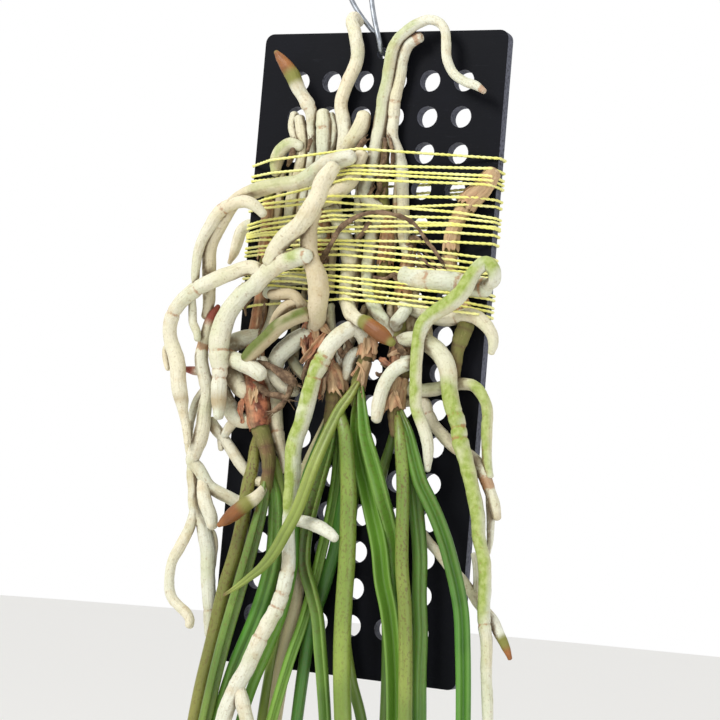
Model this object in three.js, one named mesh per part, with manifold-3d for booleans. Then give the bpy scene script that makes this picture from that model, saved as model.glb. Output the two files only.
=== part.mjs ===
// Mounted orchid: Seidenfadenia mitrata tied bare-root to a perforated plastic plate.
//
// Millimetres, +Z up. The plate stands upright with its front towards -Y. The whole is
// modelled from the centre of the plate's front face, and the last group moves it so that
// the place where the hook hangs on its rail is the origin.

import * as THREE from "three";
import { mergeVertices } from "three/addons/utils/BufferGeometryUtils.js";
import Module from "manifold-3d";

const wasm = await Module();
wasm.setup();

// Driving dimensions of the plate
const PLATE_WIDTH = 100;
const PLATE_HEIGHT = 240;
const PLATE_THICK = 5;
const CORNER_RADIUS = 3.5;
const HOLE_DIAMETER = 8;
const HOLE_PITCH = 13.5;
const HOLE_COLUMNS = 6;
const HOLE_ROWS = 16;
const WIRE_HOLE_DIAMETER = 4.4;
const WIRE_HOLE_HEIGHT = 112;

// Driving dimensions of the hanger and the twine
const WIRE_RADIUS = 0.95;
const HOOK_RADIUS = 12;
const HOOK_CENTRE = [-14, 2.5, 222];
const NECK_BOTTOM = 189;
const NECK_TURNS = 3;
const NECK_PITCH = 2.7;
const TWINE_RADIUS = 0.5;
const TWINE_CLEARANCE = 0.6;

// The seat that is left between pieces that touch
const SEAT = 0.3;

// How far a strand may lie from its drawn curve where it is made of straight lengths
const STRAND_TOLERANCE = 0.75;
const TWINE_TOLERANCE = 0.45;

// Where the eye of the photograph was. Routes are read along its sight lines.
const EYE = new THREE.Vector3(316, -670, -49);

// Roots. A point is [x, z, stand, girth]: x and z are where the sight line meets the
// plate's front face, stand is how far the root's middle is in front of that face, and
// girth is its thickness there. A root may have branches, one list each.
const ROOTS = {
  root_pointed: [
    [[-21, 31, 4, 4], [-25.5, 38, 3, 4], [-27.5, 48, 2.8, 4], [-27, 59, 2.8, 4], [-26, 70, 2.8, 3.6],
      [-26, 79, 3, 3.6], [-27, 84, 3.6, 3.7], [-28, 89.5, 5, 4.4], [-29.5, 92, 5.8, 5.8], [-32, 96, 6.6, 4.8],
      [-36, 102, 8, 6], [-40, 107, 8.6, 5.6], [-43.5, 111, 9, 3.6], [-45.2, 113, 9, 1.6]],
  ],
  root_top_fork: [
    [[-18.5, 54, 4, 5], [-16, 61, 3.6, 5.6], [-13.5, 69, 3.6, 6], [-12, 77, 4, 6.2], [-12.5, 82, 4, 5.6],
      [-14.3, 87, 4, 5.4], [-15.4, 93, 4, 5.2], [-13.4, 101.5, 4, 5], [-10.7, 108.5, 4, 5],
      [-10.4, 114, 4.2, 5], [-12.4, 119.6, 4, 5], [-14.3, 124.4, 1.6, 4.8], [-13, 126, -2, 4.4],
      [-10.8, 123.6, -6, 3.8]],
    [[-12, 76, 4, 6.4], [-8.3, 80.5, 4.4, 6.6], [-6.3, 84.5, 4.6, 6.4], [-5.5, 88, 4.6, 5.6]],
  ],
  root_arch: [
    [[4, 53, 4, 5], [-1, 56.5, 3.4, 5.2], [-2.6, 61, 3.2, 5.4], [-0.8, 67, 3.2, 5.4], [0, 73, 3.2, 5.4],
      [1.2, 84, 3.2, 5.4], [2, 92, 3.4, 5.2], [2.8, 100, 4.4, 5], [3.4, 108, 5.4, 4.8], [4, 113, 6, 4.6],
      [6.2, 117.5, 6.4, 4.4], [10.3, 121, 6.8, 4.2], [14.2, 123.2, 7, 3.9], [17.7, 124.2, 7, 3.7],
      [21.4, 123.3, 7, 3.6], [24.2, 120.4, 7, 3.6], [25.4, 116, 6.8, 3.6], [26.2, 110, 6.6, 3.6],
      [29.2, 104.3, 6.4, 3.6], [34.3, 100.6, 6.4, 3.6], [38.6, 99.2, 6.6, 3.4], [42, 97.4, 6.8, 2]],
  ],
  root_beside_arch: [
    [[17, 37, 4.4, 4.4], [14.6, 44, 3, 4.8], [13.7, 52, 2.9, 4.8], [13.2, 60, 2.9, 4.6], [11.8, 69, 2.9, 4.8],
      [9.6, 74.5, 2.9, 4.6], [7.2, 79.5, 2.9, 4.4], [6.8, 86, 2.9, 4.4], [7, 94.6, 3, 4.4], [8, 101.5, 3.2, 4.4],
      [8.2, 108, 3.6, 4.4], [9.2, 112.4, 4, 4.4], [11, 115.4, 4.2, 4.2], [14.6, 117.6, 4.4, 4]],
  ],
  root_column_pale: [
    [[6, 50, 4, 4.6], [2.6, 46, 3.2, 5], [2, 40, 3.2, 5.2], [1.6, 33, 3.2, 5.2], [2, 26, 3.4, 5.2],
      [3.4, 19.5, 4.6, 5.4], [5.8, 15.6, 6, 5.4], [8, 13.2, 6.6, 5.2], [10.8, 11, 6.6, 4.4], [13, 8, 6, 4.2],
      [16, 3, 5, 4]],
    [[16, 8.5, 5, 4.4], [14.6, 10.8, 8, 4.6], [16.6, 13.2, 9, 4.8], [18.6, 16.4, 8.4, 4.6]],
  ],
  root_group_left: [
    [[-42, 3, 5, 4], [-38.5, 6, 4, 4.2], [-36.4, 12, 3, 4.2], [-35.6, 20, 2.8, 4.2], [-35, 30, 2.8, 4.2],
      [-34.4, 40, 2.8, 4.2], [-33, 50, 2.8, 4.2], [-31.6, 60, 2.8, 4.2], [-30.2, 70, 2.8, 4.4],
      [-30, 77, 3, 4.2], [-31, 82.5, 3.2, 4.4], [-32.3, 87.2, 3.6, 4]],
    [[-30.6, 73, 3, 3.6], [-33.4, 79, 3, 3.6], [-35.4, 84, 3, 3.6], [-34.8, 88.6, 3, 3.6]],
    [[-31, 76.5, 4.5, 4], [-35.5, 77.4, 5, 5], [-39.2, 75, 5, 5.4], [-41, 70.5, 4.4, 5.2], [-41, 66, 4, 3.6]],
  ],
  root_stout: [
    [[-19, 42, 4.4, 4.6], [-22.8, 50, 3.4, 5], [-23.4, 58, 3.4, 5.2], [-21.8, 66, 3.4, 5.6],
      [-21, 74, 3.4, 5.8], [-21.6, 80, 3.6, 5.8], [-22.4, 86, 3.8, 5.8], [-22.9, 89, 3.8, 5]],
    [[-21.5, 70, 3.4, 3.2], [-18, 76, 2.6, 3.2], [-17, 80, 2.6, 3], [-17.2, 84.5, 2.6, 3], [-19, 88.6, 2.6, 2.6]],
  ],
  root_crossing: [
    [[-19.5, 55, 6, 4.8], [-16.4, 57, 9, 5.6], [-12.6, 60, 9.6, 6], [-8.8, 64, 9.4, 5.8], [-7, 68.6, 9, 5.6],
      [-5, 73.4, 8, 5]],
  ],
  root_brown_tip: [
    [[-18.4, 55, 4, 4.6], [-14.4, 51, 4.6, 5.6], [-12, 47, 4.4, 5.8], [-8.8, 41, 4, 6], [-6.4, 35, 3.8, 6.6],
      [-5.9, 31.6, 3.8, 6], [-6.4, 27, 3.8, 5.6], [-6.2, 22, 4.4, 5.6], [-5.6, 17, 7, 5.4],
      [-3.8, 13, 10, 5.2], [-1, 11.2, 12.4, 4.8], [2.4, 10.4, 13.6, 5.6], [5.4, 8.8, 14.2, 6.2],
      [8.6, 6.6, 14.6, 6], [11.4, 4.6, 14.8, 4.8], [13.6, 3.2, 15, 2.6]],
  ],
  root_grey_bound: [
    [[-19, 27, 4.6, 4], [-24, 26, 7.6, 4.4], [-28, 25.6, 8, 4.6], [-33.6, 24.8, 8, 4.8], [-38, 22.8, 7.6, 4.6],
      [-40, 19.6, 7, 4]],
  ],
  root_middle: [
    [[-18.6, 7.5, 8, 5], [-18, 11.5, 12, 6.6], [-17.9, 16, 15, 7.4], [-18, 20.5, 15.8, 7.8], [-18.8, 25, 16, 7.8],
      [-20.2, 29, 16, 7.6], [-22.4, 33, 15.8, 6.8], [-23.8, 37, 15.6, 6.4], [-24.2, 42, 15.4, 6.2],
      [-24, 47, 15.2, 5.6], [-22.6, 52, 15.4, 5]],
  ],
  root_fork_left: [
    [[-16.6, 68.4, 21.6, 5.6], [-18.4, 65.2, 21.8, 6.6], [-20.4, 62, 21.8, 6.8], [-22, 56.6, 21.6, 6.8],
      [-25, 51.2, 21.4, 6.8], [-29.2, 46, 21, 6.8], [-34, 41.6, 20, 6.6], [-37.6, 37, 18.6, 6.4],
      [-39.5, 32, 17.6, 6.4]],
    [[-24.6, 34.6, 20, 5.6], [-27.6, 34.4, 18.6, 6.8], [-31.4, 33.2, 17.6, 7], [-35.4, 31.6, 17.2, 7],
      [-39, 29.2, 17, 7], [-42.4, 26, 17, 7], [-45.2, 22.6, 17, 6.6], [-48.2, 20.8, 17, 6.4],
      [-50.4, 19, 17, 6.8], [-53.2, 15.4, 17, 7.2], [-55.6, 11.6, 17, 7.4], [-57.4, 7.4, 17, 7.8],
      [-58.3, 3, 17, 8], [-58.5, -1.6, 17, 8], [-58, -5.8, 17, 7.8], [-57.5, -10, 17, 6.4],
      [-57.5, -13.4, 17, 5.4], [-57.2, -17, 17, 6.2], [-56.8, -21.4, 17, 5.8], [-56.3, -25.4, 17, 4.8],
      [-56.1, -28.2, 17, 3.8]],
    [[-43, 27, 17, 5.4], [-47, 29.4, 18, 5.4], [-51, 29, 18.6, 5.6], [-56.2, 26.8, 19, 5.8], [-61.8, 24.6, 19, 5.8],
      [-66, 22.8, 19, 5.8], [-70.4, 20.4, 19, 5.8], [-74.4, 17.4, 19, 5.6], [-77.6, 14.2, 19, 5.4],
      [-79.8, 10.6, 18.6, 5.4], [-80.8, 6.6, 18, 5.3], [-80.6, 2.6, 17.6, 5.3], [-79.2, -1.6, 17, 5.6],
      [-77.2, -5.6, 17, 5.8], [-75.7, -10, 17, 6], [-75, -14.6, 17, 6], [-74, -19, 17, 5.8],
      [-72.8, -22.6, 17, 5.4], [-72, -26, 17, 4], [-71, -30, 17, 3.4], [-70, -34, 17, 3.2], [-68.8, -39, 16.4, 2.8]],
    [[-78.6, -1, 15, 3], [-81.6, -3.4, 14.6, 3.2], [-81.4, -7, 14.6, 3.2], [-80.2, -11, 14.6, 2.8]],
    [[-72.6, 17, 17, 3], [-71.6, 12, 15.6, 3.2], [-70.8, 7.6, 15.2, 3.2], [-69, 4, 15, 3], [-68.4, 1, 15, 2.6]],
  ],
  root_outer_left: [
    [[-9.6, 72.4, 14.4, 5.4], [-13.6, 71.6, 14.6, 6.6], [-18.6, 70.4, 14.8, 6.6], [-22.6, 68, 15, 6.4],
      [-26.4, 65.2, 15.4, 6.2], [-30.8, 63, 16, 5.6], [-37.8, 62, 16, 5.6], [-45.4, 60.4, 16, 5.8],
      [-51, 58.2, 16, 5.8], [-56.6, 55.2, 16, 5.6], [-61.6, 48.4, 16, 5.6], [-64.8, 42.4, 15.6, 5.4],
      [-66.2, 36, 15, 5.2], [-66, 29, 13.6, 5.2], [-65.2, 22, 11.6, 5], [-64.6, 16, 11, 4.8], [-65.4, 10, 11, 4]],
    [[-44.8, 50.2, 20, 3.2], [-48.4, 53.2, 20.6, 4.6], [-52.7, 54.6, 20.8, 4.8], [-57.3, 53.8, 20.8, 4.8],
      [-62, 51.8, 20.6, 4.8], [-65.5, 48.6, 20.4, 4.6], [-68.2, 44, 20, 4.4], [-70, 39.5, 19.6, 4.2],
      [-71.4, 34.4, 19, 3.8], [-71.8, 28.6, 18.6, 3.5], [-71.8, 24.6, 18.2, 3.2], [-72.3, 21.8, 18, 1.6]],
  ],
  root_through_hole: [
    [[-36, 47, 3.6, 4], [-33.4, 47.2, 0, 3.8], [-31.4, 46.6, -5, 3.8], [-37.5, 47.2, -8, 4.2], [-44, 46.6, -8.4, 4.4],
      [-50, 45.8, -8.4, 4.6], [-53.2, 43.6, -8, 4.6], [-54.8, 39, -7.4, 4.4], [-56.1, 34.4, -7, 3.6],
      [-57.4, 31, -7, 1.6]],
  ],
  root_striped: [
    [[-18, 11.6, 8, 4.6], [-22, 12.6, 13.2, 5.4], [-25.8, 11.4, 15.4, 5.8], [-30, 9.4, 16, 5.8], [-34.4, 6.6, 16, 5.8],
      [-37.4, 3.6, 16, 5.6], [-40.8, 0.4, 16, 5.6], [-43.8, -2.6, 16, 5.6], [-46, -5.4, 16, 5]],
    [[-19, 9, 6, 4], [-22.6, 13.6, 10.4, 4.4], [-26, 17.2, 12.2, 4.6], [-28.6, 19.4, 12.6, 4.4],
      [-33.2, 19.6, 12.8, 4.4], [-38, 19.2, 12.8, 3.8]],
    [[-25.6, 17, 12.2, 4], [-29.8, 15.6, 12.2, 4.6], [-32.6, 13.2, 11.8, 4.6], [-34.4, 10.8, 11.2, 4.2],
      [-35.6, 8, 10.4, 3.8]],
  ],
  root_thick_low: [
    [[-17, 5.6, 6, 5], [-21.6, 5, 7.6, 6], [-25, 3.2, 8.2, 6.4], [-28, 0.4, 8.4, 6.6], [-31, -2.4, 8.4, 6.6],
      [-33, -5.4, 8.2, 6.4], [-33.4, -9.4, 7.8, 6], [-31.4, -13.6, 7, 5.4], [-28, -16, 6.4, 5],
      [-24.4, -16.6, 6.2, 4.4]],
  ],
  root_straight_low: [
    [[-42, -5, 5, 5], [-38.6, -7.6, 4.8, 5.8], [-36.4, -10.6, 4.6, 6], [-34.4, -14, 3.8, 6], [-33, -19, 3.6, 6],
      [-32.2, -25, 3.6, 5.8], [-30.8, -30.6, 3.6, 5.6], [-29.6, -34.4, 3.6, 5], [-28.2, -38.4, 3.4, 4.4],
      [-27, -42.4, 3, 3.8], [-25.8, -47, 2.6, 2.4]],
  ],
  root_elbow_left: [
    [[-42, 4, 5, 5.6], [-45.4, 2.8, 6, 6.4], [-49, 1.8, 7, 6.8], [-52.8, 0.2, 8, 7], [-55.4, -3, 9, 7.2],
      [-54.8, -7, 9.4, 7.4], [-52.5, -10.4, 9.6, 7.4], [-50, -14, 9.6, 7.4], [-47.6, -17, 9.4, 6.8],
      [-45.6, -18.6, 9.2, 5.4]],
    [[-55, -4.4, 10, 5.6], [-52.2, -6, 13.4, 6.2], [-48.4, -7.2, 14.8, 6.4], [-43.6, -9, 15.2, 6.4],
      [-39.8, -11.2, 15.2, 6]],
  ],
  root_low_left: [
    [[-39.4, -27, 7, 5], [-43.6, -29, 7.4, 5.8], [-47.6, -28.4, 8, 6.4], [-51, -24.8, 8.6, 6.4],
      [-53.6, -20.8, 9, 6.2], [-56.2, -17, 9, 5.6], [-59, -14, 9, 4.6]],
    [[-47.4, -28.6, 8, 3.8], [-50.8, -31.6, 7, 3.8], [-52.6, -35, 5.6, 3.4]],
  ],
  root_diagonal: [
    [[-34.4, -52, 7, 4], [-38.4, -51.4, 3.6, 4.2], [-41.6, -48.8, 3.6, 4.4], [-46, -44.2, 4, 4.4],
      [-49.6, -40.2, 4.4, 4.4], [-53.2, -36.4, 5, 4.4], [-56.6, -33, 6, 4.4], [-59, -30, 6.6, 4]],
    [[-54, -35.4, 5.4, 2.8], [-54.4, -37.6, 5.4, 2.8], [-54, -40.6, 5.4, 2]],
  ],
  root_knee_left: [
    [[-33.6, -55, 7, 4.4], [-37.4, -58, 4, 4.6], [-41.4, -60, 3.8, 4.8], [-45.4, -59.6, 4.4, 4.8],
      [-49, -58.2, 5.4, 4.8], [-53, -56.8, 6.6, 4.8], [-56.8, -55, 8, 4.8], [-59.8, -52.2, 9.4, 4.8],
      [-62.6, -49, 10.4, 4.8], [-65.6, -46.2, 11, 5], [-65, -43, 11.4, 5.6], [-63.4, -38, 11.4, 5.8],
      [-62.7, -33, 11.4, 5.6], [-62.5, -28.4, 11.4, 5.4], [-62, -24.6, 11.2, 5.4], [-61.6, -20, 11, 5.2],
      [-63, -15.4, 11, 5.4], [-64.6, -11.6, 11, 5.4], [-65.8, -8, 11, 5.4], [-66.1, -4.6, 11, 5],
      [-65.8, -1.6, 11, 4.2], [-65.3, 1.4, 11, 4.6], [-64.6, 4.6, 11, 4.6], [-63.8, 7.8, 11, 4.2],
      [-62.4, 11, 11, 3.4], [-60.5, 14, 11, 1.6]],
    [[-64.8, -10.6, 11, 3.6], [-68, -11.2, 11, 3.8], [-71.4, -11, 11, 2.6], [-74.8, -10.8, 11, 1]],
    [[-62.4, -17.6, 10, 3.4], [-64.6, -20, 9, 3.6], [-66.4, -22.6, 8.8, 3.6], [-67.8, -27, 8.8, 3.4],
      [-68.4, -32, 9, 3.2], [-68.3, -38, 9.6, 3.2], [-66.6, -44.4, 10.4, 3.2]],
    [[-65.4, -46.6, 10.4, 3.8], [-65.2, -52, 9.4, 3.9], [-64.3, -57.4, 9, 3.9], [-63.8, -61, 9, 3.9],
      [-62.6, -64.6, 9, 4], [-60.8, -67.4, 8.6, 4.4], [-58.6, -69.8, 8, 5.2], [-57, -74, 7.4, 5.6],
      [-55.8, -79, 7, 5.6], [-55, -84, 6.6, 5.6], [-54.2, -90, 6, 5.6], [-53.5, -95, 5.6, 5.4],
      [-52.7, -100.4, 5, 5.2], [-52.2, -106, 4.4, 4.8], [-52, -111, 4, 3]],
    [[-62.9, -64, 9, 3.6], [-63.6, -68, 10, 4], [-64.6, -72, 10.4, 4.2], [-66.6, -76.6, 10.6, 4.4],
      [-68.9, -81, 10.6, 4.3], [-70.5, -84.6, 10.6, 4.1], [-71.2, -88.6, 10.6, 3.9], [-71.1, -93, 10.6, 3.9],
      [-70.5, -96.6, 10.6, 3.9], [-68.8, -99.4, 10.6, 3.9], [-65.8, -101.8, 10.6, 3.9], [-62.8, -104, 10.6, 4],
      [-61, -106.6, 10.6, 3.8], [-60.9, -108.4, 10.6, 3.2]],
    [[-60.4, -52.6, 9.4, 4], [-59.6, -57, 10.8, 5], [-57.8, -62, 12, 5.2], [-56, -66, 12.6, 5.2],
      [-54.8, -69.8, 12.8, 4.2]],
    [[-58.4, -70.4, 6.4, 2.6], [-54.4, -72.6, 4.6, 2.8], [-53, -77, 4, 2.8], [-52.8, -83, 4, 2.6],
      [-52.8, -88, 4, 2]],
  ],
  root_tip_left: [
    [[-34.4, -54.4, 9.6, 3.6], [-37.6, -58, 14.8, 5], [-41.4, -61.2, 16.6, 5.4], [-45.8, -64.4, 17.2, 5.6],
      [-49.2, -67.2, 17.2, 4.2], [-51.8, -69.2, 17, 1.8]],
  ],
  root_long_front: [
    [[2.6, 3, 6, 4.6], [0.6, 6.4, 8.4, 5.4], [-2.2, 8, 10, 6], [-6, 6.4, 12, 6.2], [-9.8, 3.4, 13.4, 6.2],
      [-12.2, 0.4, 14.2, 6.2], [-13.8, -3, 14.8, 6.4], [-15.6, -7, 15.2, 6.2], [-17.2, -11, 15.6, 6],
      [-18.2, -16, 16, 6.2], [-19.2, -23, 16, 6.2], [-20.4, -29.4, 16, 6.2], [-22, -34.4, 16, 6],
      [-22.8, -40, 16, 6.2], [-22.6, -47, 16, 6.2], [-22.4, -54, 16, 5.6], [-22.5, -62, 16, 5.2],
      [-22, -70, 16, 5], [-21.2, -77, 16, 5], [-21, -84, 16.4, 5.2], [-21.9, -90.6, 17, 5.4],
      [-24.3, -97.6, 17.4, 5.8], [-27.2, -104, 17.8, 5.8], [-30.6, -112, 18, 5.8], [-35, -121.8, 18, 6],
      [-39.4, -131.6, 18, 6.2], [-42, -140, 18, 6.2], [-43.6, -150, 18, 5.6], [-44.6, -160, 18, 4.6],
      [-45, -167, 18, 3]],
    [[-37, -130, 18, 4.6], [-35.4, -134, 18.6, 5.4], [-33.6, -138.4, 19, 5.4], [-31.6, -144, 19, 5],
      [-30.4, -149, 19, 3.2]],
    [[-22, -64.6, 15.4, 4.2], [-17.8, -65, 14.4, 4.6], [-13.2, -65.5, 14.6, 4.8], [-8.7, -66.6, 16, 4.8],
      [-5, -68.4, 17, 4.6], [-2.8, -69.8, 17.4, 3.6]],
    [[2.4, 0, 6, 4], [-1.6, -1.4, 6.4, 4.6], [-3.2, -4.4, 6.6, 5], [-3.4, -7.8, 6.6, 4.6], [-4, -10.4, 6.6, 3.6]],
  ],
  root_cross_right: [
    [[16, 28.4, 5, 5.4], [19.6, 27.8, 4, 6.2], [24, 27.5, 3.8, 6.6], [29.4, 27, 3.8, 6.6], [35, 26.7, 3.8, 6.4],
      [40.4, 26, 3.8, 6.2], [45.8, 25.4, 3.8, 6], [49.4, 25, 4, 5.6]],
  ],
  root_green_right: [
    [[48.6, 25.2, 5, 4.4], [52.2, 28, 9, 4.6], [51.4, 32, 10.6, 5], [48.4, 33.9, 11, 5.4], [45, 31.6, 11.6, 5.4],
      [42.6, 28, 12, 5.6], [41, 24.4, 12.2, 5.8], [38.2, 21, 12.4, 6], [34.6, 18.2, 12.6, 6], [30.8, 15.8, 12.8, 6],
      [27.4, 13, 13, 5.6], [25.2, 9.6, 13, 5.2], [24.3, 5.6, 13, 4.8], [24.2, 0, 13, 4.6], [24.5, -6.6, 13, 4.6],
      [24.9, -13, 13, 4.5], [25.8, -19.2, 12.8, 4.4], [27.8, -24.2, 12.4, 4.4], [30, -29, 11.8, 4.6],
      [31.4, -33.6, 11, 4.4], [31.9, -38, 10.4, 3.8], [32, -42, 10, 2.4]],
  ],
  root_over_edge: [
    [[16.6, 17.4, 5, 4.6], [21.2, 16.2, 3.6, 5.4], [26, 15, 3.4, 5.4], [30.6, 13.4, 3.4, 5.4], [34.4, 12.9, 3.4, 5.4],
      [38.8, 13.7, 3.6, 5.4], [42.8, 14.6, 4.4, 5.4], [46.8, 14.2, 5.2, 5.2], [50.6, 11.4, 5.6, 4.8],
      [53, 8, 5.4, 4.2], [53.6, 4.6, 5, 3.8], [53.2, 1.8, 4.8, 2.4]],
  ],
  root_long_right: [
    [[16.6, 3.6, 6, 5], [20.2, 4.8, 7.6, 5.6], [26.6, 4.4, 8, 6.2], [31.2, 2.2, 8, 6.4], [34.8, -1.4, 8, 6.5],
      [36.8, -6, 8, 6.4], [37.9, -11.6, 8, 6.3], [39.4, -17.2, 8, 6.2], [41.2, -21.8, 8, 6], [42.7, -26, 8, 5.8],
      [44.1, -30.6, 8, 5.8], [46.1, -35.6, 8, 5.6], [48.3, -41.6, 8, 5.5], [50.1, -47, 8, 5.2], [51.9, -53, 8, 5.2],
      [53.2, -58.4, 8, 5], [54.2, -64, 8, 5], [56, -70, 8, 4.8], [57.4, -76, 8, 4.6], [58, -82, 8, 4.6],
      [58.4, -88.4, 8, 4.5], [59.2, -95.2, 8, 4.5], [60.4, -103, 8, 4.4], [61, -113, 8, 4.2], [63, -127, 8, 4],
      [64.4, -138, 8, 3.4], [65, -145, 8, 2]],
  ],
  root_elbow_right: [
    [[18, -12, 6, 4.4], [21.8, -13.4, 5, 5.2], [27.2, -13.6, 3.8, 5.4], [31.8, -12.8, 3.4, 5.2],
      [37, -11.2, 3, 4.8], [41.8, -10.5, 2.9, 4.4], [46.2, -10.6, 3, 4.3], [50, -12.6, 3.4, 4.3],
      [52.5, -16.2, 4, 4.2], [53.5, -20.4, 4, 4.2], [53.8, -26, 4, 4], [54, -31.6, 4, 4], [55, -37, 4, 3.8],
      [56.6, -42.4, 4, 3]],
  ],
  root_back_right: [
    [[18, -19, 5.6, 3.8], [22.6, -18, 3, 4], [28.4, -17.8, 2.8, 4.2], [30.6, -21.6, 2.7, 4.4], [33.6, -26, 2.8, 4.6],
      [38, -30.4, 2.8, 4.6], [42.4, -33.4, 2.8, 4.6], [47, -35.4, 2.8, 4.6], [50.9, -37.9, 3, 4.7],
      [54.2, -42.2, 3.4, 4.6], [56.6, -47.6, 3.8, 4.4], [59, -52.4, 4, 4.2], [60.4, -57, 4, 3]],
    [[56.8, -48, 3.8, 3.2], [57.4, -54, 2.8, 3.2], [58.2, -60, 2.4, 3], [58.8, -65, 2.2, 2.6], [58.4, -70, 2, 1.8]],
  ],
  root_curved: [
    [[18.6, -3, 6.6, 4.6], [21, -4, 10.6, 5], [18.2, -5, 12, 5.2], [15.2, -7.2, 12.6, 5.2], [13, -10.2, 12.8, 5.2],
      [11.5, -13.8, 12.8, 5.2], [10.6, -17.2, 12.6, 5.2], [10.1, -20.8, 12.2, 5], [9.8, -25, 11.8, 4]],
  ],
  root_far_right: [
    [[31.5, -64, 5.4, 3], [36, -68.6, 3, 3.4], [41.4, -73.6, 2.8, 3.6], [46, -77.6, 3, 3.8], [50.6, -82, 3, 3.8],
      [54.6, -86.4, 3, 3.8], [58.6, -90.4, 3.4, 4], [62.6, -94, 4, 4], [65.4, -98.4, 4.4, 3.8], [68.2, -103, 4.6, 3],
      [69.8, -106, 4.6, 1.6]],
    [[54, -86, 3, 2.6], [54.6, -82, 2.6, 2.6], [54, -76.6, 2.4, 2.6], [52.8, -71, 2.2, 2.2]],
  ],
};

// Stems: the old part is bound under the twine, the young part hangs below it.
const STEMS = {
  stem_left: [[-42.6, 60, 2.8, 4], [-42.4, 50, 2.8, 4.2], [-42.2, 38, 3, 4.2], [-42, 24, 3.4, 4.4], [-42.4, 10, 4, 4.8],
    [-43, -2, 5, 5.4], [-42.6, -12, 6, 6.8], [-40.8, -18, 7, 8.2], [-39.2, -24, 7.6, 9], [-38.2, -30.6, 8, 7.4],
    [-36.4, -34, 8, 6.6], [-34.6, -38, 8, 6.4], [-33.2, -42, 8, 5.6], [-32.7, -47, 8, 5], [-33, -53, 8, 4.6],
    [-33.4, -57, 8, 4]],
  stem_middle: [[-18.6, 58, 2.9, 4.2], [-18.6, 46, 3, 4.6], [-18.6, 34, 3.2, 4.8], [-19, 22, 3.6, 5.2], [-18.4, 10, 4.6, 6],
    [-16.2, 1, 5.6, 6.6], [-11.8, -6.4, 6.4, 6.6], [-8.2, -12, 6.8, 7.4], [-7.2, -18.6, 7, 7.6], [-7.6, -23.4, 7, 6.6],
    [-8.4, -28, 7, 5.4]],
  stem_centre: [[4.4, 78, 2.4, 3.2], [4.6, 68, 2.5, 3.6], [5, 58, 2.8, 4.2], [8, 47, 3, 4.6], [8.4, 36, 3, 4.8],
    [7.6, 24, 3.2, 5], [5.4, 12, 4, 5.4], [4.2, 3, 5, 6], [3.2, -4, 5.8, 5.2], [1.8, -10, 6.4, 4.8],
    [0.9, -15, 6.8, 4.6], [1.4, -20, 7, 4]],
  stem_right: [[18.2, 42, 2.6, 3.8], [17.4, 32, 2.9, 4.4], [16.6, 20, 3.4, 5.2], [16.4, 8, 4.4, 6.2], [17.4, -1, 5.4, 6.6],
    [18.6, -8, 6.2, 6.4], [17.8, -14, 6.8, 6.4], [17.5, -20, 7, 6.2], [17.8, -26, 7, 5.4], [18.6, -30, 7, 4.4]],
  stem_far_right: [[48, 67, 3.6, 5.4], [44.6, 61.4, 3.6, 5.8], [39.6, 56.4, 3.4, 6], [36, 50.8, 3.2, 5.6], [34, 45, 3, 5.2],
    [33.7, 38, 3, 5.2], [35, 31, 2.6, 4], [38, 24, 2.6, 4], [41, 17, 2.8, 4.4], [42.4, 11, 3.4, 5.8],
    [41, 6.4, 4, 6.2], [40, 1.4, 4, 4.8], [40, -4, 3.6, 4], [40.2, -8.6, 3.2, 3]],
};

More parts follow.
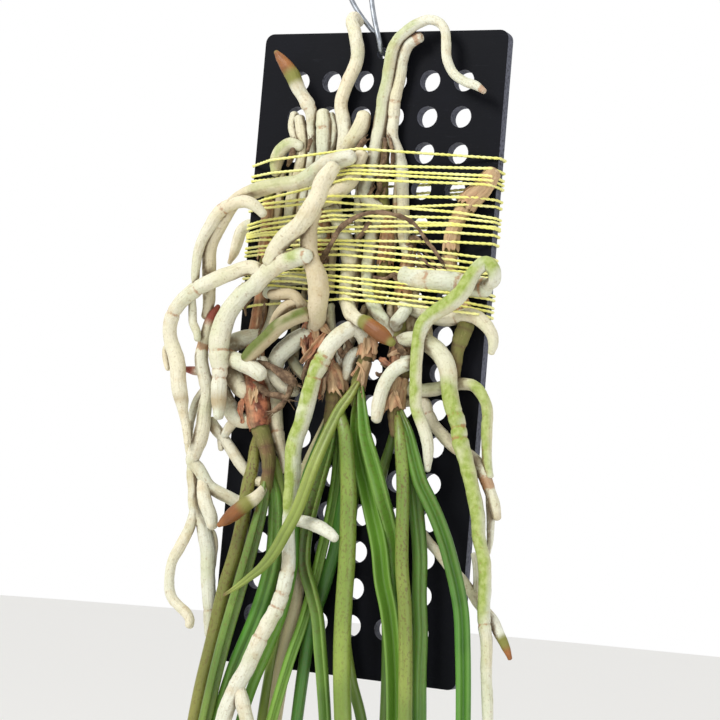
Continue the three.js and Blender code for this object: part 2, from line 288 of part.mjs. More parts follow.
// Leaves: as the roots, and the turn of the grooved side from the viewer in degrees.
const LEAVES = {
  leaf_left_outer: { turn: 200, route: [[-38.4, -33, 7, 2.6], [-39.3, -38.6, 5.6, 4], [-39.4, -46, 6, 4.8],
    [-40.8, -53, 7, 5], [-41.6, -66, 8, 5.2], [-43.6, -79, 8, 5.4], [-47, -93, 8, 5.4], [-50, -112, 8, 5.4],
    [-53.6, -133, 8, 5.2], [-56.4, -160, 8, 5], [-59, -200, 7, 4.8], [-60, -250, 6, 4.2], [-60, -300, 5, 3.4],
    [-59, -338, 4, 1.6]] },
  leaf_left_second: { turn: 70, route: [[-33.4, -52, 9, 3], [-33.6, -58, 11, 4.4], [-35.2, -67, 12.6, 5.4],
    [-37.6, -79, 13, 5.8], [-41, -94, 13, 5.8], [-45, -112, 13, 5.8], [-48.4, -131, 13, 5.6],
    [-52.4, -160, 13, 5.2], [-55, -200, 12, 5], [-56, -250, 11, 4.6], [-55.4, -310, 10, 3.8], [-54, -362, 9, 1.6]] },
  leaf_left_third: { turn: 30, route: [[-32, -48, 6, 3], [-29.4, -55, 5.4, 5], [-27.8, -64, 6.4, 6], [-27.2, -78, 7.4, 6.4],
    [-29.2, -91, 8.4, 6.4], [-33, -104.6, 9, 6.4], [-38.6, -120, 9, 6.4], [-43, -136, 9, 6], [-47.4, -160, 8, 5.6],
    [-50, -200, 7, 5.2], [-51.4, -260, 6, 4.6], [-51, -330, 5, 3.6], [-49.6, -386, 4, 1.6]] },
  leaf_olive_behind: { turn: 180, route: [[-32, -41, 5.6, 2.6], [-29.4, -45.4, 3.6, 3.8], [-27.2, -53, 3.2, 4], [-24.8, -62, 3.2, 4.4],
    [-22.8, -76, 3.4, 4.8], [-22.2, -94, 3.6, 5], [-23.4, -114, 4, 5.2], [-25.4, -136, 4, 5], [-27.6, -170, 3.6, 4.8],
    [-28.6, -220, 3, 4.4], [-28, -280, 2.4, 3.6], [-27, -330, 2, 1.6]] },
  leaf_front: { turn: 20, route: [[1, -12.4, 10, 2.6], [-1.6, -17, 12, 3.6], [-4.8, -21.6, 13.4, 4], [-7.8, -28, 15, 4.2],
    [-10.4, -34.4, 17, 4.4], [-13.6, -43, 20, 4.6], [-16.4, -52, 21.6, 4.6], [-19.4, -61.4, 22.2, 4.6],
    [-23, -69, 22.2, 4.6], [-27.4, -77.6, 22, 4.4], [-32, -83.6, 21, 3.6], [-37, -88, 19.4, 2.8],
    [-42, -92, 18.6, 2], [-46.8, -95.4, 18.4, 1]] },
  leaf_grooved: { turn: 340, route: [[-7.6, -25.4, 9, 3], [-7.6, -32, 9.6, 5], [-9, -39, 9.4, 5.6], [-11, -48, 9, 5.8], [-13.2, -58.6, 8.6, 5.8],
    [-14.8, -70, 8.6, 5.6], [-14.4, -81, 9.2, 5.6], [-10.8, -90, 10, 5.6], [-7.4, -99, 10.6, 5.6], [-5, -111, 11, 5.6],
    [-2.6, -124, 11, 5.4], [0, -140, 11, 5.2], [3, -170, 10, 5], [5, -220, 9, 4.6], [6, -290, 8, 3.8],
    [6, -352, 7, 1.6]] },
  leaf_old: { turn: 200, route: [[-9.6, -25.4, 5, 2.8], [-12.4, -33, 3.8, 3.6], [-15.6, -41, 3.4, 4], [-18, -49, 3.2, 4.6], [-18.8, -60, 3.2, 5],
    [-17.8, -75, 3.6, 5.6], [-16.8, -93, 4.4, 6], [-18, -106, 5, 6.2], [-20, -123, 5.6, 6], [-21.4, -145, 6, 5.4],
    [-22.4, -180, 6, 4.8], [-22.4, -230, 5, 4], [-21.4, -276, 4, 1.6]] },
  leaf_bright_low: { turn: 120, route: [[-10.4, -28.6, 7, 2.6], [-13, -36, 6.4, 3], [-16.2, -46, 6.4, 3.4], [-18.6, -58, 7, 3.6],
    [-19, -70, 8.4, 3.8], [-18.6, -82, 9.4, 4], [-21, -98, 10, 4.2], [-26, -113.4, 10.4, 4.4], [-31.4, -128, 10.4, 4.6],
    [-35.6, -145, 10, 4.8], [-39, -180, 9, 4.8], [-41, -240, 8, 4.2], [-41, -310, 7, 3.4], [-40, -360, 6, 1.6]] },
  leaf_light: { turn: 60, route: [[-6.2, -25.4, 5, 2.6], [-4.8, -34, 3.4, 3.4], [-4.2, -46, 3.4, 4], [-5.2, -60, 3.6, 4.2],
    [-7.4, -74, 4, 4.2], [-9.8, -88, 5, 4.2], [-12.8, -102, 7, 4.2], [-16.8, -116, 10.6, 4.2], [-20.2, -130, 12.6, 4.2],
    [-23.4, -146, 13, 4.2], [-27, -176, 13, 4], [-30, -230, 12, 3.8], [-31.4, -300, 11, 3.2], [-31.4, -344, 10, 1.6]] },
  leaf_dark_middle: { turn: 160, route: [[-5.2, -21, 4.4, 2.6], [-1.4, -30, 3, 3.2], [-0.2, -44, 3, 3.8], [-1, -58, 3.2, 4.4],
    [-2, -72, 3.2, 4.8], [-5, -87, 3.4, 5], [-9, -101, 4, 5], [-10.6, -116, 5, 5], [-11.6, -133, 5.6, 5],
    [-12.6, -160, 6, 4.8], [-13.4, -210, 6, 4.4], [-13.4, -280, 5, 3.8], [-12.4, -340, 4, 1.6]] },
  leaf_centre: { turn: 175, route: [[-5.6, -22, 11, 2.8], [-4, -26.6, 13, 4.4], [-2, -32, 14, 5.2], [-0.2, -42, 14.4, 5.8],
    [1.2, -52, 14.4, 6.2], [2.2, -64, 14.4, 6.4], [3, -78, 14.4, 6.6], [3.2, -92, 14.4, 6.6], [3.9, -108, 14.4, 6.8],
    [5.4, -124, 14.4, 6.8], [8, -145, 14, 6.6], [11, -180, 13, 6.2], [13, -240, 12, 5.4], [14, -320, 11, 4.2],
    [14, -392, 10, 1.6]] },
  leaf_behind_centre: { turn: 180, route: [[1.6, -16, 4, 2.6], [3.4, -26, 3, 3.4], [3.6, -40, 3, 4], [3.4, -56, 3, 4.2], [3, -72, 3.4, 4.2],
    [3.2, -90, 4, 4.2], [5, -106, 4.4, 4.2], [8.6, -120, 4.6, 4.2], [14, -134, 5, 4.2], [19, -155, 5, 4.2],
    [23, -195, 5, 4], [25, -250, 5, 3.6], [25, -312, 5, 1.6]] },
  leaf_green_pair_a: { turn: 10, route: [[1.8, -18, 9, 2.8], [1.4, -25, 9.6, 3.6], [2.6, -34, 9.4, 4.6], [5, -42, 9.2, 5.4], [8, -50, 9.2, 5.8],
    [11.6, -60, 9.2, 6.2], [15.4, -71, 9.2, 6.4], [18.2, -84, 9.2, 6.6], [21.4, -94, 9.2, 6.6], [24, -106, 9.2, 6.4],
    [25.8, -118, 9.2, 6.2], [27.4, -134, 9.2, 6], [29.2, -160, 9, 5.8], [31, -210, 8, 5.2], [31.6, -290, 7, 4.4],
    [31, -376, 6, 1.6]] },
  leaf_green_pair_b: { turn: 350, route: [[2.6, -14, 10, 2.6], [4, -22, 12.6, 4], [6, -31, 14, 5], [9, -38.6, 14.4, 5.6], [12.2, -46.4, 14.4, 5.8],
    [15.2, -54, 13, 5.8], [18.6, -62, 9.6, 5.6], [21.6, -71, 6.4, 5.4], [23.6, -82, 4.6, 5.4], [25.8, -95, 3.8, 5.4],
    [27.6, -110, 3.6, 5.2], [29, -128, 3.6, 5], [30.4, -155, 3.4, 4.8], [31.4, -205, 3, 4.4], [31.4, -280, 2.4, 3.6],
    [30.4, -340, 2, 1.6]] },
  leaf_hidden_right: { turn: 200, route: [[18, -26, 4.6, 2.6], [16.6, -34, 3.2, 3.4], [14.6, -43, 2.9, 3.8], [13.6, -54, 2.8, 4], [15, -68, 2.8, 4.2],
    [18.6, -84, 2.8, 4.2], [21.4, -100, 2.8, 4.2], [23, -120, 2.8, 4.2], [24, -150, 2.6, 4], [24.6, -200, 2.4, 3.6],
    [24.6, -262, 2, 1.6]] },
  leaf_speckled_right: { turn: 170, route: [[18.6, -24, 10, 2.8], [19.8, -29, 12.6, 4], [20.8, -35, 14, 4.8], [22.2, -43, 14.4, 4.9],
    [23.4, -54, 14.4, 5], [24.1, -65, 14.4, 5.1], [25.2, -78, 14.4, 5.2], [27.6, -92, 14.4, 5.3], [29.2, -106, 14.4, 5.3],
    [30.6, -122, 14.4, 5.3], [32, -140, 14.4, 5.3], [34, -172, 14, 5.2], [36, -230, 13, 4.8], [37, -310, 12, 4],
    [37, -388, 11, 1.6]] },
  leaf_right_straight: { turn: 40, route: [[19.8, -25, 7, 2.8], [23.4, -33, 7.6, 4.2], [26, -42, 7.8, 5], [28, -52, 8, 5.4],
    [30.2, -63, 8, 5.6], [32, -74, 8, 5.6], [33, -88, 8, 5.6], [34.6, -101, 8, 5.6], [35.4, -116, 8, 5.6],
    [36.8, -131, 8, 5.4], [38.4, -155, 8, 5.2], [40.4, -200, 8, 4.8], [41, -270, 8, 4.2], [40.4, -350, 8, 1.6]] },
  leaf_right_outer: { turn: 30, route: [[19.4, -22, 9, 2.8], [23, -29, 11.6, 4.2], [26.2, -38, 12.6, 5], [29.8, -47, 13, 5.4],
    [33.6, -53, 13, 5.6], [37.4, -59.4, 13, 5.6], [41.2, -67, 13, 5.6], [44.4, -75, 13, 5.6], [47.4, -83.4, 13, 5.6],
    [49.8, -92.4, 13, 5.6], [51.6, -106, 13, 5.6], [53.2, -122, 13, 5.4], [54.6, -142, 13, 5.2], [56, -175, 12, 5],
    [57.6, -230, 11, 4.6], [57.6, -300, 10, 3.8], [56.6, -360, 9, 1.6]] },
};

// Dry remains: an old flower spike over the twine, and dead roots at the left shoot.
const DRY = {
  dry_spike: [[[-17.6, 34, 8.4, 2], [-15.4, 38, 12.6, 2], [-13.6, 41.6, 14.4, 2], [-11.4, 45.4, 15, 2],
    [-6.6, 49, 15, 2], [-2, 51, 15, 1.9], [3.8, 51.8, 14.8, 1.8], [9.2, 51.2, 14.4, 1.8], [14.8, 49.8, 13.8, 1.7],
    [18.6, 47.8, 13, 1.6], [21.4, 45, 12.2, 1.5], [24.2, 41.6, 11.2, 1.5], [27.4, 38.4, 10.4, 1.4], [30.4, 34.8, 9.6, 1.2]]],
  dry_strands: [
    [[-42.8, -13.6, 9.4, 2.2], [-38.8, -16.6, 10.8, 2.4], [-35.2, -18.4, 11, 2.4], [-31.2, -18.8, 11, 2.4],
      [-28, -19.6, 11, 2]],
    [[-26, -13.4, 11, 2.2], [-27, -18, 11, 2.4], [-29.2, -21.8, 11, 2.4], [-32.6, -24.8, 11, 2]],
    [[-41, -7, 12, 2.6], [-35.6, -8, 12.4, 2.8], [-31.4, -10, 12.4, 3], [-28, -12, 12, 3.4], [-24.8, -13.8, 11.6, 3]],
  ],
};

// Twine: the height of each turn on the front at the plate's left edge, on its middle
// line and at its right edge. The next turn starts where the last one comes round.
const TURNS = [
  [68.5, 74, 72.3], [64.4, 67.2, 67.6], [62.6, 65.6, 64.8], [59.6, 64.4, 63.2], [53.4, 62.6, 61.6],
  [52.6, 56.2, 57], [51, 54.4, 50.4], [45.6, 52.6, 54.6], [44.2, 50.6, 49], [42.2, 49, 46.6],
  [41.4, 45.4, 47.2], [40.6, 43.8, 44.2], [39.4, 39.8, 41], [36.6, 38.8, 35.6], [35, 37, 33.2],
  [33.6, 34.6, 31], [29.4, 30.8, 30], [28, 29.2, 28.6], [26.4, 27.6, 22.6], [25, 26, 21],
  [23, 24, 18.2], [21.6, 22.2, 16.6], [13.6, 18.2, 14.6],
];

// The pieces that the twine binds to the plate
const BOUND = ["stem_left", "stem_middle", "stem_centre", "stem_right", "stem_far_right", "root_pointed",
  "root_top_fork", "root_arch", "root_beside_arch", "root_column_pale", "root_group_left", "root_stout",
  "root_crossing", "root_brown_tip", "root_grey_bound", "root_through_hole", "root_cross_right", "root_over_edge"];

const THROUGH_THE_PLATE = ["root_through_hole"];

// A point on the sight line through (x, z) of the plate's face, stand mm in front of it
function lift([x, z, stand]) {
  const foot = new THREE.Vector3(x, 0, z);
  return foot.lerp(EYE, stand / -EYE.y);
}

// A closed solid from a three.js geometry
function solid(geometry) {
  const bare = geometry.clone();
  for (const name of Object.keys(bare.attributes)) {
    if (name !== "position") bare.deleteAttribute(name);
  }
  const merged = mergeVertices(bare, 1e-4);
  const vertProperties = new Float32Array(merged.attributes.position.array);
  const triVerts = new Uint32Array(merged.index.array);
  return new wasm.Manifold(new wasm.Mesh({ numProp: 3, vertProperties, triVerts }));
}

// A regular outline of the given number of sides and radius 1
function roundOutline(sides) {
  const points = [];
  for (let i = 0; i < sides; i += 1) {
    const angle = (2 * Math.PI * (i + 0.5)) / sides;
    points.push(new THREE.Vector2(Math.cos(angle), Math.sin(angle)));
  }
  return new THREE.Shape(points);
}

// A leaf's outline, 2 wide: round below, with a groove between two rims above. The room
// that its neighbours leave it has no groove.
function leafOutline(grooved) {
  const points = [[0.95, 0.3], [0.0, 0.0], [-0.95, 0.3], [-0.74, -0.5], [0, -0.8], [0.74, -0.5]];
  if (!grooved) points[1] = [0, 0.5];
  return new THREE.Shape(points.map(([x, y]) => new THREE.Vector2(x, y)));
}

// A straight extrusion of the outline, carried station by station onto its route
function carry(outline, stations) {
  const steps = stations.length - 1;
  const blank = new THREE.ExtrudeGeometry(outline, { depth: steps, steps, bevelEnabled: false });
  const place = blank.attributes.position;
  const point = new THREE.Vector3();
  for (let i = 0; i < place.count; i += 1) {
    const station = stations[Math.round(place.getZ(i))];
    point.copy(station.centre);
    point.addScaledVector(station.side, place.getX(i) * station.radius);
    point.addScaledVector(station.up, place.getY(i) * station.radius);
    place.setXYZ(i, point.x, point.y, point.z);
  }
  return solid(blank);
}

// Side and up vectors at every station, turned as little as possible from one to the next,
// or with up kept towards a given direction
function frameStations(stations, towards) {
  let up = towards ? towards.clone() : new THREE.Vector3(0.31, 0.9, 0.2);
  stations.forEach((station, i) => {
    const before = stations[Math.max(i - 1, 0)].centre;
    const after = stations[Math.min(i + 1, stations.length - 1)].centre;
    const along = after.clone().sub(before).normalize();
    const base = towards ? towards : up;
    up = base.clone().addScaledVector(along, -base.dot(along)).normalize();
    station.up = up;
    station.side = up.clone().cross(along);
  });
  return stations;
}

// The stations of a strand through hand-read points, with blunt closed ends
function strandStations(route, spacing, grow) {
  const centres = route.map(lift);
  const curve = new THREE.CatmullRomCurve3(centres, false, "centripetal");
  const last = route.length - 1;
  const stations = [];
  for (let i = 0; i < last; i += 1) {
    const steps = Math.max(1, Math.round(centres[i].distanceTo(centres[i + 1]) / spacing));
    for (let k = 0; k < steps; k += 1) {
      const girth = THREE.MathUtils.lerp(route[i][3], route[i + 1][3], k / steps);
      stations.push({ centre: curve.getPoint((i + k / steps) / last), radius: girth / 2 + grow });
    }
  }
  stations.push({ centre: curve.getPoint(1), radius: route[last][3] / 2 + grow });
  simplify(stations, STRAND_TOLERANCE);
  const first = stations[0];
  const end = stations[stations.length - 1];
  const before = first.centre.clone().sub(stations[1].centre).normalize();
  const after = end.centre.clone().sub(stations[stations.length - 2].centre).normalize();
  stations.unshift({ centre: first.centre.clone().addScaledVector(before, first.radius * 0.6), radius: first.radius * 0.55 });
  stations.push({ centre: end.centre.clone().addScaledVector(after, end.radius * 0.6), radius: end.radius * 0.55 });
  return stations;
}

// Leaves out the stations that lie within the tolerance of the line between their neighbours
function simplify(stations, tolerance) {
  const stray = (i) => {
    const [a, b, c] = [stations[i - 1], stations[i], stations[i + 1]];
    const k = b.centre.distanceTo(a.centre) / (b.centre.distanceTo(a.centre) + c.centre.distanceTo(b.centre));
    const girth = Math.abs(THREE.MathUtils.lerp(a.radius, c.radius, k) - b.radius);
    return a.centre.clone().lerp(c.centre, k).distanceTo(b.centre) + girth;
  };
  while (stations.length > 3) {
    let least = 1;
    for (let i = 2; i < stations.length - 1; i += 1) {
      if (stray(i) < stray(least)) least = i;
    }
    if (stray(least) > tolerance) break;
    stations.splice(least, 1);
  }
}

function strand(route, sides, spacing, grow = 0) {
  return carry(roundOutline(sides), frameStations(strandStations(route, spacing, grow)));
}

function leaf({ route, turn }, spacing, grow = 0) {
  const angle = THREE.MathUtils.degToRad(turn);
  const towards = new THREE.Vector3(Math.sin(angle), -Math.cos(angle), 0);
  return carry(leafOutline(grow === 0), frameStations(strandStations(route, spacing, grow * 1.4), towards));
}

// The largest body of a solid that a cut may have left in pieces
function mainBody(whole) {
  const bodies = whole.decompose();
  return bodies.reduce((best, body) => (body.volume() > best.volume() ? body : best));
}

function join(solids) {
  return solids.reduce((sum, next) => sum.add(next));
}

// The plate, or with grow the room that its neighbours leave it, with or without its holes
function plateGeometry(grow = 0, pierced = true) {
  const right = PLATE_WIDTH / 2 - CORNER_RADIUS;
  const top = PLATE_HEIGHT / 2 - CORNER_RADIUS;
  const corner = CORNER_RADIUS + grow;
  const outline = new THREE.Shape();
  outline.absarc(right, top, corner, 0, Math.PI / 2);
  outline.absarc(-right, top, corner, Math.PI / 2, Math.PI);
  outline.absarc(-right, -top, corner, Math.PI, Math.PI * 1.5);
  outline.absarc(right, -top, corner, Math.PI * 1.5, Math.PI * 2);
  if (pierced) {
    for (let row = 0; row < HOLE_ROWS; row += 1) {
      for (let column = 0; column < HOLE_COLUMNS; column += 1) {
        const x = (column - (HOLE_COLUMNS - 1) / 2) * HOLE_PITCH;
        const y = (row - (HOLE_ROWS - 1) / 2) * HOLE_PITCH;
        outline.holes.push(holePath(x, y, HOLE_DIAMETER / 2 - grow));
      }
    }
    outline.holes.push(holePath(0, WIRE_HOLE_HEIGHT, WIRE_HOLE_DIAMETER / 2 - grow));
  }
  const depth = PLATE_THICK + 2 * grow;
  const geometry = new THREE.ExtrudeGeometry(outline, { depth, bevelEnabled: false, curveSegments: 3 });
  return geometry.rotateX(Math.PI / 2).translate(0, PLATE_THICK + grow, 0);
}

function holePath(x, y, radius) {
  const sides = 6;
  const points = [];
  for (let i = 0; i < sides; i += 1) {
    const angle = (2 * Math.PI * (i + 0.5)) / sides;
    points.push(new THREE.Vector2(x + radius * Math.cos(angle), y + radius * Math.sin(angle)));
  }
  return new THREE.Path(points);
}

// The hanger: a hook, two strands that pass through the plate's wire hole, and a wrapped neck
function hangerSolid(grow = 0) {
  const [hookX, hookY, hookZ] = HOOK_CENTRE;
  const points = [];
  for (const degrees of [-50, -25, 0, 30, 60, 90, 120, 150, 180, 210, 235]) {
    const angle = THREE.MathUtils.degToRad(degrees);
    points.push([hookX + HOOK_RADIUS * Math.cos(angle), hookY, hookZ + HOOK_RADIUS * Math.sin(angle)]);
  }
  points.unshift([hookX + HOOK_RADIUS * 1.05, hookY, hookZ - HOOK_RADIUS * 1.05]);
  points.push([hookX - 0.6, hookY, hookZ - HOOK_RADIUS * 1.35], [hookX, hookY, NECK_BOTTOM + 10]);
  points.push([hookX, hookY, NECK_BOTTOM], [-12.6, 1.4, 176], [-9.6, -0.8, 154], [-5.6, -2, 132]);
  points.push([-2.6, -2.6, 121.6], [-0.5, -2.9, 116], [0, -1.6, 112.6], [0, 2.5, WIRE_HOLE_HEIGHT]);
  points.push([0, 6.6, 112.6], [-1.4, 8, 116], [-8.8, 7.4, 122.6], [-18.4, 7, 134.6], [-22.4, 6.2, 146], [-22.6, 5.2, 160]);
  points.push([-18.6, 4, 178], [-15.6, 3.4, NECK_BOTTOM + 0.6]);
  const curve = new THREE.CatmullRomCurve3(points.map((p) => new THREE.Vector3(...p)), false, "centripetal");
  const wire = tube(curve, 48, 5, WIRE_RADIUS + grow);
  const wrap = [];
  const wrapSteps = NECK_TURNS * 6;
  for (let i = 0; i <= wrapSteps; i += 1) {
    const angle = (2 * Math.PI * i) / 6 + Math.PI / 2;
    const reach = WIRE_RADIUS * 1.75;
    wrap.push(new THREE.Vector3(hookX + reach * Math.cos(angle), hookY + reach * Math.sin(angle),
      NECK_BOTTOM + (NECK_PITCH * i) / 6));
  }
  const coil = tube(new THREE.CatmullRomCurve3(wrap), wrapSteps, 4, WIRE_RADIUS + grow);
  return mainBody(wire.add(coil));
}

function tube(curve, steps, sides, radius) {
  const points = roundOutline(sides).getPoints().map((p) => p.multiplyScalar(radius));
  const outline = new THREE.Shape(points.slice(0, sides));
  return solid(new THREE.ExtrudeGeometry(outline, { steps, extrudePath: curve }));
}

// Where a bound solid meets the sheet in which one turn of twine lies, as [x, y] pairs
function sheetPoints(mesh, sheet) {
  const places = [];
  const { vertProperties: at, triVerts, numProp } = mesh;
  const height = (v) => at[v * numProp + 2] - sheet(at[v * numProp]);
  for (let t = 0; t < triVerts.length; t += 1) {
    const a = triVerts[t];
    const b = triVerts[t % 3 === 2 ? t - 2 : t + 1];
    const rise = height(a);
    const fall = height(b);
    if (rise > 0 === fall > 0) continue;
    const k = rise / (rise - fall);
    places.push([0, 1].map((axis) => at[a * numProp + axis] * (1 - k) + at[b * numProp + axis] * k));
  }
  return places;
}

// The outer chain of points from the plate's one edge to the other, as a tight string lies
function tightChain(places, front) {
  const sign = front ? -1 : 1;
  const margin = TWINE_RADIUS + TWINE_CLEARANCE;
  const padded = [];
  for (const [x, y] of places) {
    for (let i = 0; i < 8; i += 1) {
      const angle = (Math.PI * i) / 4;
      padded.push([x + margin * Math.cos(angle), sign * (y + margin * Math.sin(angle))]);
    }
  }
  padded.sort((a, b) => a[0] - b[0] || a[1] - b[1]);
  const chain = [];
  for (const p of padded) {
    while (chain.length > 1 && bendsUp(chain[chain.length - 2], chain[chain.length - 1], p)) chain.pop();
    chain.push(p);
  }
  return chain.map(([x, y]) => [x, sign * y]);
}

function bendsUp(a, b, c) {
  return (b[0] - a[0]) * (c[1] - a[1]) - (b[1] - a[1]) * (c[0] - a[0]) >= 0;
}

function twineStation(x, y, z, grow) {
  return { centre: new THREE.Vector3(x, y, z), radius: TWINE_RADIUS * 1.2 + grow };
}

// The twine: every turn lies tight over what it binds and straight across the back
function twineSolid(bound, grow = 0) {
  const half = PLATE_WIDTH / 2;
  const frontEdges = [[-half, 0], [half, 0]];
  const backEdges = [[-half, PLATE_THICK], [half, PLATE_THICK]];
  const meshes = bound.map(({ body }) => body.getMesh());
  const lay = (sheet, edges, front) => {
    const places = [...edges];
    for (const offset of [-TWINE_RADIUS, TWINE_RADIUS]) {
      for (const mesh of meshes) places.push(...sheetPoints(mesh, (x) => sheet(x) + offset));
    }
    const within = places.filter(([x, y]) => Math.abs(x) <= half && (front ? y < 1 : y > PLATE_THICK - 1));
    const stations = tightChain(within, front).map(([x, y]) => twineStation(x, y, sheet(x), grow));
    simplify(stations, TWINE_TOLERANCE);
    return stations;
  };
  const pieces = TURNS.map(([left, middle, right], i) => {
    const next = TURNS[i + 1] ? TURNS[i + 1][0] : left - 3;
    const front = lay((x) => (x < 0 ? middle + ((middle - left) * x) / half : middle + ((right - middle) * x) / half),
      frontEdges, true);
    const back = lay((x) => right + ((next - right) * (half - x)) / PLATE_WIDTH, backEdges, false);
    const { x, y } = front[0].centre;
    const stations = [...front, ...back.reverse(), twineStation(x, y, next, grow)];
    return carry(roundOutline(3), frameStations(stations));
  });
  return mainBody(join(pieces));
}

// Every piece in the order in which neighbours give way: a later one is cut back to keep
// the seat to the earlier ones that it meets
function buildSolids() {
  const made = [];
  const slab = solid(plateGeometry(SEAT, false));
  const piercedSlab = solid(plateGeometry(SEAT));
  const add = (name, build, give = true) => {
    let body = build(0);
    if (give) body = body.subtract(THROUGH_THE_PLATE.includes(name) ? piercedSlab : slab);
    if (give) {
      for (const other of made) {
        if (other.grown && touches(body, other.grown)) body = body.subtract(other.grown);
      }
      body = mainBody(body);
    }
    made.push({ name, body, grown: build(SEAT) });
    return body;
  };
  add("hanger", hangerSolid, false);
  for (const [name, route] of Object.entries(STEMS)) add(name, (grow) => strand(route, 7, 7, grow));
  const rootSolid = (branches, grow) => join(branches.map((route) => strand(route, girthSides(route), 7, grow)));
  const rootsThat = (bound) => Object.entries(ROOTS).filter(([name]) => BOUND.includes(name) === bound);
  for (const [name, branches] of rootsThat(true)) add(name, (grow) => rootSolid(branches, grow));
  const bound = made.filter(({ name }) => BOUND.includes(name));
  const twine = { name: "twine", body: twineSolid(bound), grown: twineSolid(bound, SEAT) };
  for (const piece of bound) piece.body = mainBody(piece.body.subtract(twine.grown));
  made.push(twine);
  for (const [name, branches] of rootsThat(false)) add(name, (grow) => rootSolid(branches, grow));
  for (const [name, spec] of Object.entries(LEAVES)) add(name, (grow) => leaf(spec, 24, grow));
  for (const [name, branches] of Object.entries(DRY)) add(name, (grow) => rootSolid(branches, grow));
  return made;
}

function girthSides(route) {
  return Math.max(...route.map((p) => p[3])) > 5.9 ? 6 : 5;
}

function touches(a, b) {
  const one = a.boundingBox();
  const two = b.boundingBox();
  return [0, 1, 2].every((axis) => one.min[axis] < two.max[axis] && two.min[axis] < one.max[axis]);
}

function geometryOf(body) {
  const { vertProperties, triVerts } = body.getMesh();
  const geometry = new THREE.BufferGeometry();
  geometry.setAttribute("position", new THREE.BufferAttribute(vertProperties, 3));
  geometry.setIndex(new THREE.BufferAttribute(triVerts, 1));
  geometry.computeVertexNormals();
  return geometry;
}

function finish(color, roughness, metalness = 0) {
  return new THREE.MeshStandardMaterial({ color, roughness, metalness });
}

const FINISHES = {
  plate: finish(0x22242a, 0.55),
  hanger: finish(0x8f9298, 0.35, 1),
  twine: finish(0xe8e48a, 0.8),
  stem: finish(0x8a7a4a, 0.85),
  root: finish(0xdcd8bc, 0.85),
  leaf: finish(0x55862f, 0.5),
  dry: finish(0x74573f, 0.95),
};

function finishFor(name) {
  const key = Object.keys(FINISHES).find((kind) => name.startsWith(kind));
  return FINISHES[key];
}

const plate = new THREE.Mesh(plateGeometry(), FINISHES.plate);
plate.name = "plate";

const plant = new THREE.Group();
plant.add(plate);
for (const { name, body } of buildSolids()) {
  const mesh = new THREE.Mesh(geometryOf(body), finishFor(name));
  mesh.name = name;
  plant.add(mesh);
}
plant.position.set(-HOOK_CENTRE[0], -HOOK_CENTRE[1], -(HOOK_CENTRE[2] + HOOK_RADIUS - WIRE_RADIUS));

const group = new THREE.Group();
group.add(plant);

export default group;
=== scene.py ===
"""Dresses the mounted orchid: skin, leaves, plate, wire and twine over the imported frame."""

from __future__ import annotations

import functools
import logging
import math
from dataclasses import dataclass, field
from enum import Enum
from typing import Callable, Sequence

import bmesh
import bpy
import numpy as np
from mathutils import Matrix, Vector
from mathutils.bvhtree import BVHTree


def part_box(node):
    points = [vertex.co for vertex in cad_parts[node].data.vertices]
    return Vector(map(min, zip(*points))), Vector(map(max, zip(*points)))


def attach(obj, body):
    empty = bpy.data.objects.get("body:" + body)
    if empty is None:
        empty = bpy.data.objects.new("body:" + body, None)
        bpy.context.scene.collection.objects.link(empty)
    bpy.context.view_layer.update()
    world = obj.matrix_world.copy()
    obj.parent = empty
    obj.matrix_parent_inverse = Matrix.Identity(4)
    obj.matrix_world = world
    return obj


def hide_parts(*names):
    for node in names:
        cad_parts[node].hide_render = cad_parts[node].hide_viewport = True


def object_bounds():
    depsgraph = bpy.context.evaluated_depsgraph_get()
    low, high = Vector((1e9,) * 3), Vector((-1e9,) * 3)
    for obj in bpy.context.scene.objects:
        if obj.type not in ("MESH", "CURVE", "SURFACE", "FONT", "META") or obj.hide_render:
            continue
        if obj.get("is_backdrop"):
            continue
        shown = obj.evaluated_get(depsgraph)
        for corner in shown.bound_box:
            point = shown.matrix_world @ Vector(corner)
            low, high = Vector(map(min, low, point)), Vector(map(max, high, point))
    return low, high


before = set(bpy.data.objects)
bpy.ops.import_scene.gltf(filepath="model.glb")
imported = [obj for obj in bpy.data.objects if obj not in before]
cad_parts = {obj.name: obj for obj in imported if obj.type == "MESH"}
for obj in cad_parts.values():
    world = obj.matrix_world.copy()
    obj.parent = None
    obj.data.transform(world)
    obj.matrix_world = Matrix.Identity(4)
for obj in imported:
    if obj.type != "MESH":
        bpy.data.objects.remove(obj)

LOG = logging.getLogger("orchid")
MM = 0.001

# The photograph: a 100 mm lens on a 36 mm sensor. Places are from the middle of the
# plate's front face, in millimetres, and routes are read along the camera's sight lines.
EYE = (316.0, -670.0, -49.0)
CAMERA_RIGHT = (0.9041, 0.4188, 0.0847)
CAMERA_UP = (-0.0509, -0.0913, 0.9945)
LENS = 100.0
SENSOR = 36.0

# Plate, as in the CAD
PLATE_WIDTH = 100.0
PLATE_HEIGHT = 240.0
PLATE_THICK = 5.0
CORNER_RADIUS = 3.5
HOLE_DIAMETER = 8.0
HOLE_PITCH = 13.5
HOLE_COLUMNS = 6
HOLE_ROWS = 16
WIRE_HOLE_DIAMETER = 4.4
WIRE_HOLE_HEIGHT = 112.0

# Hanger and twine, as in the CAD
WIRE_RADIUS = 0.95
HOOK_RADIUS = 12.0
HOOK_CENTRE = (-14.0, 2.5, 222.0)
NECK_BOTTOM = 189.0
NECK_TURNS = 3
NECK_PITCH = 2.7
TWINE_RADIUS = 0.54
TWINE_LAY = 4.4

# How brightly the white surroundings light the object, where the backdrop itself shows as 1
AMBIENT = 0.86

# The floor, in metres
FLOOR_RADIUS = 5.0
FLOOR_SIDES = 64
FLOOR_DROP = 0.06

